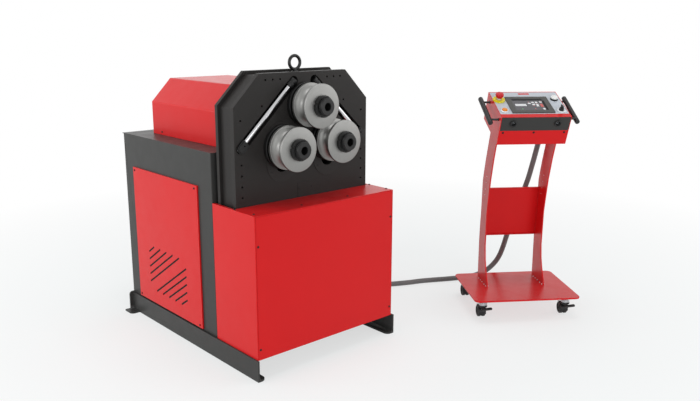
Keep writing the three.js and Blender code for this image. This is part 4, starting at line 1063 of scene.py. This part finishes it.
class RINGROLLER_OT_cabinet(Operator):
    """Makes the cabinet, its vented side panels, the top cover and the rear panel"""

    bl_idname = "ring_roller.cabinet"
    bl_label = "Cabinet"

    def execute(self, context):
        def corners(middle, direction):
            """The front uprights and the top's side edges are bent; the lips at the rear stay sharp."""
            if middle[1] > CABINET_LIP_FRONT:
                return None
            if abs(abs(middle[0]) - CABINET_HALF) > 1.5:
                return 0.0
            if abs(direction[2]) > 0.9 and middle[1] < 400:
                return 1.0
            return 0.6 if abs(middle[2] - CABINET_TOP) < 1.5 and abs(direction[1]) > 0.9 else 0.0

        def folds(middle, direction):
            """The four long edges over the cover's walls are bent."""
            return 1.0 if abs(direction[1]) > 0.9 and middle[2] > 1000 else 0.0

        dressed("cabinet_shell", "cabinet_shell_bent", "grey", bends=corners)
        dressed("top_cover", "top_cover_bent", "red", bends=folds)
        self.seal()
        self.side_panel("left", 101)
        self.side_panel("right", 160)
        self.rear()
        left, right = (screws([[side * (COVER_HALF + 0.1), y, 941.6] for y in (934.9, 380)], name)
                       for name, side in SIDES.items())
        piece("top_cover_screws", left + right, "screw")
        return {"FINISHED"}

    def seal(self):
        """A dark strip along the cover's front edge, from 1.6 mm outside its skin to 3.6 mm inside."""
        foot, knee, top, top_half = CABINET_TOP + 0.6, 1083.9, 1194.5, 171
        arch = np.array([[COVER_HALF, foot], [COVER_HALF, knee], [top_half, top], [-top_half, top],
                         [-COVER_HALF, knee], [-COVER_HALF, foot]])
        outer, inner = inset(arch, -1.6), inset(arch, 3.6)
        outer[[0, -1], 1] = inner[[0, -1], 1] = foot
        seal = slab(np.vstack([outer, inner[::-1]]), (COVER_FRONT, 303), "xz", (), 0.6)
        piece("top_cover_seal", seal, "black_and_painted_shade", flat=True)

    def vents(self):
        """Two groups of five parallel slots at 32.5 degrees, with one place between them left out; each
        slot ends at the vents' rear, front, low or high limit."""
        rise = math.tan(math.radians(32.5))
        front_limit, rear_limit, low_limit, high_limit = 558.5, 909, 169.5, 393
        slots = []
        for k in (0, 1, 2, 3, 4, 6, 7, 8, 9, 10):
            start = 362 - 38.3 * k
            front = max(front_limit, rear_limit - (high_limit - start) / rise)
            rear = min(rear_limit, rear_limit - (low_limit - start) / rise)
            ends = [(y, start + (rear_limit - y) * rise) for y in (front, rear)]
            slots.append(obround(*ends, 4.25, 6))
        return slots

    def side_panel(self, name, low):
        """The vented sheet with the folded rim that it stands on, a black sheet behind its slots that is
        painted shade standing for the dark inside of the cabinet seen through them, and its screws."""

        side = SIDES[name]

        def layer(outline, inner, outer, *rest):
            """A slab on this side between two distances from the machine's middle."""
            return slab(outline, sorted((side * inner, side * outer)), "yz", *rest)

        outline = [[430, low], [1033, low], [1033, 769], [430, 769]]
        inside = [[445, low + 15], [1018, low + 15], [1018, 754], [445, 754]]
        sheet = layer(outline, PANEL_FACE - 1.5, PANEL_FACE, self.vents(), 0.5)
        rim = layer(outline, CABINET_HALF + 0.3, 393.4, [inside], 0.4)
        piece(f"side_panel_{name}_vented", sheet + rim, "red", stands_for=f"side_panel_{name}",
              flat=True)
        # Painted shade: a black sheet just behind the slots stands for the dark inside of the cabinet seen
        # through them
        black_and_painted_shade = layer([[545, 162], [925, 162], [925, 402], [545, 402]], 392.2, 392.9, (), 0.1, 1)
        piece(f"side_panel_{name}_backing", black_and_painted_shade, "black_and_painted_shade", flat=True)
        face = side * (PANEL_FACE - 0.05)
        heads = screws([[face, y, z] for y in (453, 1017) for z in (low + 12, 754)], name)
        piece(f"side_panel_{name}_screws", heads, "screw")

    def rear(self):
        """A screwed service panel and a bare plate on the back."""
        panel = slab(rounded_rectangle(-320, 320, 130, 880, 6), (1126, 1128.4), "xz", (), 0.7)
        piece("rear_service_panel", panel, "grey", flat=True)
        plate = slab(rounded_rectangle(150, 290, 730, 820, 4), (1128.4, 1129.4), "xz", (), 0.3)
        piece("rear_bare_plate", plate, "silver", flat=True)
        places = [[x, 1128.5, z] for x, z in (
            (-305, 145), (-305, 865), (0, 145), (0, 865), (305, 145), (305, 865), (-305, 505), (305, 505))]
        piece("rear_panel_screws", screws(places, "back"), "screw")


class RINGROLLER_OT_rollers(Operator):
    """Makes the three rollers with their shafts and lock nuts"""

    bl_idname = "ring_roller.rollers"
    bl_label = "Rollers and shafts"

    SETS = (("upper", UPPER, "upper_spindle", 293.2), ("lower_left", LOWER_LEFT, "left_spindle", 271.0),
            ("lower_right", LOWER_RIGHT, "right_spindle", 271.0))

    def execute(self, context):
        sizes = context.scene.ring_roller_rollers
        for name, axis, body, shaft_end in self.SETS:
            for node, surface, finish, slot in (
                    ("roller", self.roller(axis, sizes), "steel", "roller_steel"),
                    ("shaft", self.shaft(axis, sizes, shaft_end), "black_steel", "black_steel"),
                    ("lock_nut", self.nut(axis, sizes), "black_steel", "black_steel")):
                piece(f"{name}_{node}_turned", surface, finish, body, stands_for=f"{name}_{node}")
            refinish(f"{name}_drive_motor", "black_steel")
        return {"FINISHED"}

    def roller(self, axis, sizes):
        """A profile turned about the roller's axis: flat faces, a small round at each rim and a groove
        r = R - sqrt(T^2 - (d - middle)^2) that carries the tube."""
        radius, tube, width = sizes.roller_radius * 1000, sizes.tube_radius * 1000, 87.0
        groove = arc((width / 2, radius), tube, 180, 360, 28)[:, ::-1]
        groove[0] += (0, -0.8)
        groove[-1] += (0, 0.8)
        start = [[38.2, width - 1.5], [38.2, 1.5], [39.7, 0], [radius - 2.5, 0], [radius - 1.2, 0.4],
                 [radius - 0.4, 1.2], [radius, 2.5]]
        finish = [[radius, width - 2.5], [radius - 0.4, width - 1.2], [radius - 1.2, width - 0.4],
                  [radius - 2.5, width], [39.7, width]]
        profile = np.vstack([start, groove, finish])
        return turned(profile, (axis[0], 43, axis[1]), (0, 1, 0), 112)

    def shaft(self, axis, sizes, end):
        """A stepped profile turned about the shaft's axis, with a threaded end r = R - 0.7 |saw(d)|, a deep
        tapped bore and a flange."""
        journal = sizes.shaft_radius * 1000
        thread_start, thread_end, pitch = 4.0, 14.0, 2.0
        turns = np.arange(thread_start, thread_end, pitch)
        thread = np.stack([
            np.tile([journal - 1.1, journal, journal, journal - 1.1], len(turns)),
            (turns[:, None] + [0.0, 0.55, 1.0, 1.55]).ravel()], -1)
        front = 5
        profile = np.vstack([
            [[0, 62], [17.2, 56], [17.2, 2.2], [18.6, 0], [journal - 3.4, 0], [journal - 1.6, 1.4],
             [journal - 1.1, 3.0]],
            thread,
            [[journal, thread_end + 0.4], [journal, 127], [journal + 1.0, 128], [80.5, 128], [82, 129.4],
             [82, 138], [94.4, 138], [96, 139.6], [96, 155.4], [94.4, 157], [30, 157], [30, end - front],
             [0, end - front]]])
        return turned(profile, (axis[0], front, axis[1]), (0, 1, 0), 96)

    def nut(self, axis, sizes):
        """A ring with four notches: inside a notch the radius drops to 4.2 mm below the rim."""
        rim, depth, half = sizes.nut_radius * 1000, 4.2, 4.3
        profile = np.array([
            [38.1, 20], [38.1, 1.2], [39.3, 0], [rim - 3.4, 0], [rim - 3.0, 0.4], [rim - 3.0, 5.0],
            [rim - 1.2, 5.4], [rim, 6.6], [rim, 20.3], [rim - 1.2, 21.5], [39.3, 21.5]])
        edge, first_notch = np.arcsin(half / rim), 0.3
        quarter = np.arange(4) * np.pi / 2 + first_notch
        sharp = (quarter[:, None] + [-edge - 0.004, -edge, edge, edge + 0.004]).ravel()
        angles = np.sort(np.concatenate([full_turn(96), sharp]) % (2 * np.pi))

        def trim(r, d, a):
            """The rim cut down inside the notches."""
            away = np.abs((a - first_notch + np.pi / 4) % (np.pi / 2) - np.pi / 4)
            notch = (away <= edge + 0.001) & (r > rim - depth)
            return np.where(notch, rim - depth, r)

        return turned(profile, (axis[0], 21, axis[1]), (0, 1, 0), angles, trim)


class RINGROLLER_OT_guides(Operator):
    """Makes the chromed guide rods with their sliding blocks"""

    bl_idname = "ring_roller.guides"
    bl_label = "Guide rods"

    def execute(self, context):
        radius = context.scene.ring_roller_rollers.rod_radius * 1000
        reach = math.sqrt(GUIDE_RADIUS ** 2 - radius ** 2) - 0.5
        rod_profile = [[0, 0], [radius, 0], [radius, 351 + reach], [0, 351 + reach]]
        sleeve_profile = np.array([
            [0, 350], [19, 350], [19, 366], [17.4, 367.5], [17.4, 373], [19, 374.5], [19, 389.4],
            [0, 389.4]]) + [0, reach]
        for name, side in SIDES.items():
            low = np.array([side * GUIDE_LOW[0], GUIDE_LOW[1]])
            high = np.array([side * GUIDE_HIGH[0], GUIDE_HIGH[1]])
            run = (high - low) / np.linalg.norm(high - low)
            start = low - reach * run
            origin, axis = (start[0], ROD_DEPTH, start[1]), (run[0], 0, run[1])
            rod = turned(softened_corners(rod_profile, 1.2, 3), origin, axis, 48)
            piece(f"guide_rod_{name}_chromed", rod, "chrome", stands_for=f"guide_rod_{name}")
            sleeve = turned(softened_corners(sleeve_profile, 1.0, 2), origin, axis, 48)
            piece(f"guide_rod_{name}_sleeve", sleeve, "block")
            self.block(name, low, run)
        return {"FINISHED"}

    def block(self, name, low, run):
        """The sliding block: two plates, round below and square above, on two cheeks that leave a channel
        for the rod, with a raised pad and a grease hole on its front."""
        half, channel, length = 21.5, 12.9, 34.0
        normal = np.array([-run[1], run[0]])
        turn = math.degrees(math.atan2(run[1], run[0]))
        hole = circle(low + 14 * run, 4.2, 16)

        def at(along, across):
            """A point of the outlines: a way up the rod from the block's round end, and one square to it."""
            return low + along * run + across * normal

        chamfer = 1.5
        plate = np.vstack([
            arc(low, half, turn + 90, turn + 270, 18), at(length - chamfer, -half),
            at(length, chamfer - half), at(length, half - chamfer), at(length - chamfer, half)])
        parts = [slab(plate, (155.2, 159.2), "xz", [hole], 0.6), slab(plate, (184.8, 188.7), "xz", (), 0.6)]
        opening = math.degrees(math.acos(channel / half))
        for way in (-1, 1):
            bottom = arc(low, half, turn + way * 90, turn + way * (90 + opening), 8)
            cheek = convex_order(np.vstack([bottom, at(length, way * channel), at(length, way * half)]))
            parts.append(slab(cheek, (159.0, 185.0), "xz", (), 0.3))
        pad_half, pad_top = half - 5, 28
        pad = np.vstack([
            arc(low, pad_half, turn + 90, turn + 270, 18), at(pad_top, -pad_half), at(pad_top, pad_half)])
        parts.append(slab(pad, (152, 156), "xz", [hole], 1.4, 3))
        piece(f"guide_block_{name}_milled", together(parts), "block", f"{name}_guide",
              stands_for=f"guide_block_{name}", flat=True)


class RINGROLLER_OT_drives(Operator):
    """Gives the pieces inside the head and cabinet their materials"""

    bl_idname = "ring_roller.drives"
    bl_label = "Inside pieces"

    def execute(self, context):
        for side in SIDES:
            refinish(f"lower_{side}_carriage", "machined")
            refinish(f"{side}_cylinder_barrel", "head")
            refinish(f"{side}_cylinder_rod", "chrome")
        refinish("hydraulic_power_unit", "grey")
        return {"FINISHED"}


class RINGROLLER_OT_stand(Operator):
    """Makes the console's base plate, uprights and cross panel"""

    bl_idname = "ring_roller.stand"
    bl_label = "Console stand"

    def execute(self, context):
        plate = slab(rounded_rectangle(-273.6, 273.6, -217.7, 217.7, 29.4, 8), (108, 116), "xy", (), 1.6, 3)
        piece("console_base_plate", plate, "red", into=console, stands_for="console_base",
              flat=True)
        castors = [(x, y) for x in (-CASTOR_X, CASTOR_X) for y in (-CASTOR_Y, CASTOR_Y)]
        pads = [slab(rounded_rectangle(x - 30, x + 30, y - 30, y + 30, 5), (105, 108.05), "xy", (), 0.5)
                for x, y in castors]
        piece("castor_plates", together(pads), "zinc", into=console, flat=True)
        bolts = screw(4.6, 3.2).moved((1, 0, 0), (0, 1, 0), (0, 0, -1)).at([
            [x + dx, y + dy, 104.9] for x, y in castors for dx in (-23, 23) for dy in (-23, 23)])
        piece("castor_plate_bolts", bolts, "zinc", into=console)
        for side in SIDES:
            dressed(f"console_upright_{side}", f"console_upright_{side}_cut", "red")
        dressed("console_cross_panel", "console_cross_panel_bent", "red")
        self.rivets()
        return {"FINISHED"}

    def rivets(self):
        """Pale domes r = R cos a at a height of h sin a, a from 0 to 90 degrees: along the foot of each
        upright on both its sides, and down each side of an upright in front of the cross panel."""
        angle = np.radians(np.linspace(0, 90, 6))
        dome = np.stack([np.cos(angle), np.sin(angle)], -1)
        dome[-1, 0] = 0

        def rivet(radius, height, sunk):
            """One dome, sunk a little into the sheet."""
            profile = np.vstack([[[0, -sunk], [radius, -sunk]], dome * (radius, height)])
            return turned(profile, axis=(0, 0, 1), sides=20)

        feet = rivet(3.2, 2.6, 0.3).at([
            [side * x, y, 116.3] for side in (-1, 1) for x in (147, 159) for y in (1, 31, 69, 99, 129)])
        head = rivet(2.4, 1.2, 0.2)
        rows = [(75, 691), (84.5, 656), (92, 620), (98, 588)]
        left = facing(head, "left").at([[x, y, z] for x in (-156.1, 149.9) for y, z in rows])
        right = facing(head, "right").at([[x, y, z] for x in (-149.9, 156.1) for y, z in rows])
        piece("upright_rivets", feet + left + right, "bright", into=console, sharp=50)


class RINGROLLER_OT_control_box(Operator):
    """Makes the console's box, its top plate, socket strip and touch screen"""

    bl_idname = "ring_roller.control_box"
    bl_label = "Control box"

    def execute(self, context):
        dressed("console_box", "console_box_bent", "red")
        wells = [circle(STOP_AT, 13, 24)] + [circle(at, 8, 24) for at in (RESET_AT, START_AT, SELECTOR_AT)]
        half = FASCIA_HALF
        top = slab([[-half, 5.3], [half, 5.3], [half, 222.7], [-half, 222.7]], (-3, 0), "xy", wells, 0.5)
        piece("console_top_plate_sheet", top, "silver", into=fascia, stands_for="console_top_plate",
              flat=True)
        label = slab(rounded_rectangle(-28, 28, 17, 30, 1.5), (0, 0.4), "xy", (), 0.15)
        piece("console_bare_label", label, "red", into=fascia, flat=True)
        self.strip()
        self.screen()
        heads = screw(5.6).at([[x, 86, 0.1] for x in (-154, 0, 153)])
        piece("console_front_screws", heads, "screw", into=front_strip)
        return {"FINISHED"}

    def strip(self):
        """The plastic strip across the box's front, with two round sockets and six pins in each."""
        half = FASCIA_HALF
        holes = [circle((x, 36), 12.5, 32) for x in (-111, 111)]
        plate = slab([[-half, 1.3], [half, 1.3], [half, 75.2], [-half, 75.2]], (-3, -0.1), "xy", holes, 0.5)
        piece("console_socket_strip", plate, "strip", into=front_strip,
              stands_for="console_socket_panel", flat=True)
        socket = turned(softened_corners([
            [0, -9], [9, -9], [9, -1], [11, -1], [11, 5], [12, 6], [16, 6], [17.6, 4.8], [17.6, 0], [12.3, 0],
            [12.3, -11], [0, -11]], 0.6), axis=(0, 0, 1), sides=48)
        pins = turned(softened_corners([
            [0, -9], [1.2, -9], [1.2, -3], [0, -2.6]], 0.4), axis=(0, 0, 1), sides=12)
        angle = full_turn(6)
        places = np.stack([5 * np.cos(angle), 5 * np.sin(angle), np.zeros(6)], -1)
        both = [[-111, 36, 0], [111, 36, 0]]
        piece("console_sockets", socket.at(both), "black", into=front_strip)
        piece("console_socket_pins", pins.at(places).at(both), "zinc", into=front_strip)

    def screen(self):
        """The touch screen's bezel and glass, with plain marks where its display is lit, and dark bands along
        the top and right of the glass that are painted shade of the recess walls.
        """
        frame_plate = slab(rounded_rectangle(-110, 105, 59, 217, 4, 6), (0.2, 5), "xy",
                           [rounded_rectangle(-84, 79, 81, 193, 1.5, 3)], 1.2, 3)
        piece("touch_screen_frame", frame_plate, "screen_frame", into=fascia,
              stands_for="touch_screen", flat=True)
        glass = slab(rounded_rectangle(-83.7, 78.7, 81.3, 192.7, 1.2, 3), (0.3, 3.6), "xy", (), 0.2)
        piece("touch_screen_glass", glass, "glass", into=fascia, flat=True)
        # The heading fields are painted shade: dark bands along the top and right of the glass where the
        # recess walls and their shade show
        self.display("heading", "black_and_painted_shade", [(-81, 75, 84, 97), (66.5, 78, 99, 190)])
        self.display("fields", "lit", [
            (-76, -20, 131, 151), (-8, 6, 120, 132), (11, 25, 110, 122), (11, 25, 130, 144),
            (30, 42, 110, 124), (30, 42, 132, 156), (54, 66, 104, 120), (54, 65, 172, 188)])
        self.display("alarms", "lit_red", [
            (50, 64, 131, 161), (-6, 1, 112, 116), (13, 20, 148, 152), (32, 39, 126, 129), (56, 64, 107, 112),
            (13, 19, 175, 181)])
        self.display("run_mark", "lit_green", [(-54, -46, 176, 184)])

    def display(self, name, finish, fields):
        """Plain rounded fields on the display, a fifth of a millimetre proud of the glass."""
        drawn = [slab(rounded_rectangle(*field, 1, 2), (3.5, 3.8), "xy", (), 0.08, 1) for field in fields]
        piece(f"touch_screen_{name}", together(drawn), finish, into=fascia, flat=True)


class RINGROLLER_OT_buttons(Operator):
    """Makes the stop button, the push buttons and the selector"""

    bl_idname = "ring_roller.buttons"
    bl_label = "Buttons"

    def execute(self, context):
        self.ring("stop_collar", STOP_AT, "yellow", [
            [13, 0.3], [29.2, 0.3], [30, 1.2], [30, 6.4], [28.6, 8], [14.2, 8], [13, 7]])
        self.on("e_stop_neck", STOP_AT, "neck", "stop_button", "red_plastic", [
            [0, -8], [12, -8], [12, 15.6], [0, 15.6]])
        self.on("e_stop_mushroom", STOP_AT, "red_button", "stop_button", "red_plastic", [
            [0, 15.2], [13.4, 15.2], [15, 17.4], [19.4, 24], [20.6, 28], [20.6, 33], [19.2, 37], [15, 39.8],
            [8, 41], [0, 41]], "e_stop_cap")
        self.ring("reset_collar", RESET_AT, "bright", [
            [13.6, 0.3], [19, 0.3], [19.5, 1.6], [18.4, 4.2], [15.6, 5], [14, 4.6], [13.6, 3.6]])
        self.on("reset_lens", RESET_AT, "orange", "reset_key", "orange_plastic", [
            [0, -8], [7, -8], [7, 3.6], [13, 3.6], [13, 8.4], [11.9, 9.5], [6, 9.9], [0, 10]], "reset_button")
        self.ring("start_collar", START_AT, "black", [
            [8.2, 0.3], [18.4, 0.3], [19, 1.4], [18.2, 3.6], [16, 4], [8.2, 4]])
        self.on("start_cap", START_AT, "white", "start_key", "white_plastic", [
            [0, -8], [7, -8], [7, 7.3], [15.8, 7.3], [17, 8.6], [17, 13], [15.2, 17], [10, 19.4],
            [0, 20]], "start_button")
        self.ring("selector_collar", SELECTOR_AT, "bright", [
            [12.4, 0.3], [21.4, 0.3], [22, 1.6], [20.6, 3.8], [17, 4.4], [13, 4.2], [12.4, 3.6]])
        self.selector()
        return {"FINISHED"}

    def on(self, name, place, finish, body, slot, profile, stands_for=()):
        """A turned piece that stands on the fascia."""
        surface = turned(softened_corners(profile, 0.7, 2), (*place, 0), (0, 0, 1), 56)
        piece(name, surface, finish, body, into=fascia, stands_for=stands_for, sharp=38)

    def ring(self, name, place, finish, profile):
        """A collar round a button's stem: its profile closes on itself."""
        surface = turned(profile, (*place, 0), (0, 0, 1), 56)
        piece(name, surface, finish, into=fascia, sharp=38)

    def selector(self):
        """A round boss and a pointed grip: an outline drawn in plan and carried up, with its edges
        rounded."""
        boss = turned(softened_corners([
            [0, -8], [7, -8], [7, 4.4], [11.6, 4.4], [12, 5.6], [11.4, 13.4], [10, 14.6], [0, 14.6]], 0.7),
            (*SELECTOR_AT, 0), (0, 0, 1), 48)
        outline = [
            [136.8, 203], [145.2, 203], [145.6, 192], [144, 181.5], [141, 177.6], [138, 181.5], [136.4, 192]]
        grip = slab(outline, (10, 28), "xy", (), 1.8, 4)
        piece("selector_grip", boss + grip, "black", "selector", into=fascia,
              stands_for="selector_knob", flat=True)


class RINGROLLER_OT_handles(Operator):
    """Makes the two handles beside the box"""

    bl_idname = "ring_roller.handles"
    bl_label = "Handles"

    def execute(self, context):
        start, end = np.array([46.0, 1096.0]), np.array([-146.0, 997.0])
        length = float(np.linalg.norm(end - start))
        ribs = np.arange(12, length - 12, 6.0)
        rings = np.stack([
            np.tile([12, 12, 11.3, 11.3], len(ribs)), (ribs[:, None] + [0, 4.4, 4.8, 5.6]).ravel()], -1)
        cap = np.array([[0, 0], [9.4, 0], [11.3, 0.8], [12, 2.6], [12, 11]])
        profile = np.vstack([cap, rings, (cap * [1, -1] + [0, length])[::-1]])
        post = turned(softened_corners([
            [0, 0], [7.2, 0], [7.2, 3.4], [5.2, 4.4], [5.2, 36], [6.4, 39], [0, 39]], 0.6),
            axis=(1, 0, 0), sides=32)
        for name, side in SIDES.items():
            bar = turned(profile, (side * 217.5, *start), (0, *(end - start)), 40)
            arms = post if side > 0 else post.moved((-1, 0, 0), (0, 1, 0), (0, 0, 1))
            arms = arms.at([[side * (BOX_HALF + 0.3), y, z] for y, z in ((22, 1080), (-133, 1013))])
            piece(f"handle_{name}_ribbed", bar + arms, "grip", into=console,
                  stands_for=f"handle_{name}", sharp=40)
        return {"FINISHED"}


class RINGROLLER_OT_castors(Operator):
    """Makes the four twin-wheel castors and the brake rockers"""

    bl_idname = "ring_roller.castors"
    bl_label = "Castors"

    def execute(self, context):
        for end, y in (("front", -CASTOR_Y), ("rear", CASTOR_Y)):
            for name, side in SIDES.items():
                x, where = side * CASTOR_X, f"{end}_{name}"
                self.fork(x, y, where)
                self.wheels(x, y, where)
                if end == "front":
                    self.brake(x, y, name)
        return {"FINISHED"}

    def fork(self, x, y, where):
        """The hood over the wheels, its web between them, its swivel head and the zinc raceway over it."""
        axle = y + CASTOR_TRAIL
        web = slab([
            [axle - 16, 9], [axle + 10, 9], [axle + 14, 30], [axle + 14, 52], [axle + 4, 64], [axle - 8, 70],
            [y - 14, 76], [y - 20, 66], [axle - 22, 38]], (x - 2.9, x + 2.9), "yz", (), 1.2, 3)
        middle = (axle, WHEEL_RADIUS)
        cover = np.vstack([arc(middle, 34.4, 60, 195, 24), arc(middle, 31.4, 195, 60, 24)])
        hood = slab(cover, (x - 19, x + 19), "yz", (), 1.2, 3)
        crown = turned(softened_corners([
            [0, 58], [18, 62], [22, 66], [22, 72], [0, 72]], 1.4, 3), (x, y, 0), (0, 0, 1), 40)
        piece(f"castor_hood_{where}", web + hood + crown, "black", f"caster_{where}",
              into=console, stands_for=f"caster_fork_{where}", flat=True)
        race = turned(softened_corners([
            [0, 72.2], [19, 72.2], [21, 74], [21, 86], [18, 89], [22, 91], [24.6, 92.6], [24.6, 99],
            [18, 101], [18, 104.8], [0, 104.8]], 0.9, 2), (x, y, 0), (0, 0, 1), 40)
        piece(f"castor_raceway_{where}", race, "zinc", f"caster_{where}", into=console)

    def wheels(self, x, y, where):
        """Two wheels and their axle turned about it, with a dished hub on each outer side."""
        inner, outer = 3.5, 19.0
        side = np.array([
            [0, outer - 3.2], [7, outer - 3.2], [8, outer - 1.2], [11, outer - 1.2], [12.5, outer - 3.4],
            [20, outer - 3.4], [21.5, outer - 0.4], [24, outer], [27.6, outer - 0.7], [29.4, outer - 2.2],
            [WHEEL_RADIUS, outer - 4.6], [WHEEL_RADIUS, inner + 2.2], [29.2, inner + 0.6], [27, inner],
            [5, inner]])
        profile = np.vstack([side, side[::-1] * [1, -1]])
        wheels = turned(profile, (x, y + CASTOR_TRAIL, WHEEL_RADIUS), (1, 0, 0), 56)
        piece(f"castor_wheels_{where}", wheels, "tread", f"wheel_{where}", into=console,
              stands_for=f"caster_wheel_{where}")

    def brake(self, x, y, name):
        """The rocker: a flattened spoon that rises to the right, z = 58 + 5 s for s from 0 to 1, with its
        radius R sqrt(1 - (2 s - 1)^14) round at both ends, and a small toe on its left."""
        ahead, broadened = y - 31.0, 1.4
        share = np.linspace(0, 1, 25)
        line = np.stack([x - 18 + 58 * share, np.full_like(share, ahead), 58 + 5 * share], -1)
        spoon = swept(line, 6.6 * np.sqrt(np.clip(1 - (2 * share - 1) ** 14, 0.02, 1)), 20)
        spoon.points[:, 1] = ahead + broadened * (spoon.points[:, 1] - ahead)
        toe = turned(softened_corners([
            [0, -32], [3.6, -32], [4.6, -30], [4.6, -26], [2.8, -24], [2.8, -12], [0, -12]], 1, 3),
            (x, ahead, 55), (1, 0, 0), 24)
        piece(f"castor_brake_{name}", spoon + toe, "black", f"brake_{name}", into=console,
              stands_for=f"caster_brake_{name}")


class RINGROLLER_PT_panel(Panel):
    """Sizes, colours and pieces of the ring roller"""

    bl_idname = "RINGROLLER_PT_panel"
    bl_label = "Ring Roller"
    bl_space_type = "VIEW_3D"
    bl_region_type = "UI"
    bl_category = "Ring Roller"

    def draw(self, context):
        layout = self.layout
        for name in GROUPS:
            group = getattr(context.scene, name)
            column = layout.column(align=True)
            for key in group.__annotations__:
                column.prop(group, key)
        for operator in OPERATORS:
            layout.operator(operator.bl_idname)


GROUPS = {
    "ring_roller_rollers": RollerSizes,
    "ring_roller_sheet": SheetSizes,
    "ring_roller_conduit": ConduitSizes,
    "ring_roller_finishes": Finishes,
}
OPERATORS = (
    RINGROLLER_OT_stage,
    RINGROLLER_OT_conduit,
    RINGROLLER_OT_base,
    RINGROLLER_OT_head,
    RINGROLLER_OT_guard,
    RINGROLLER_OT_cabinet,
    RINGROLLER_OT_rollers,
    RINGROLLER_OT_guides,
    RINGROLLER_OT_drives,
    RINGROLLER_OT_stand,
    RINGROLLER_OT_control_box,
    RINGROLLER_OT_buttons,
    RINGROLLER_OT_handles,
    RINGROLLER_OT_castors,
)


def register():
    """Registers the property groups, the operators and the panel."""
    for group in GROUPS.values():
        bpy.utils.register_class(group)
    for name, group in GROUPS.items():
        setattr(bpy.types.Scene, name, PointerProperty(type=group))
    for operator in (*OPERATORS, RINGROLLER_PT_panel):
        bpy.utils.register_class(operator)


def unregister():
    """Takes back what register did."""
    for operator in (RINGROLLER_PT_panel, *reversed(OPERATORS)):
        bpy.utils.unregister_class(operator)
    for name, group in GROUPS.items():
        delattr(bpy.types.Scene, name)
        bpy.utils.unregister_class(group)


def main():
    """Makes the whole scene through its operators."""
    register()
    FINISH.update(make_finishes(bpy.context.scene.ring_roller_finishes))
    for operator in OPERATORS:
        family, name = operator.bl_idname.split(".")
        getattr(getattr(bpy.ops, family), name)()


if __name__ == "__main__":
    main()
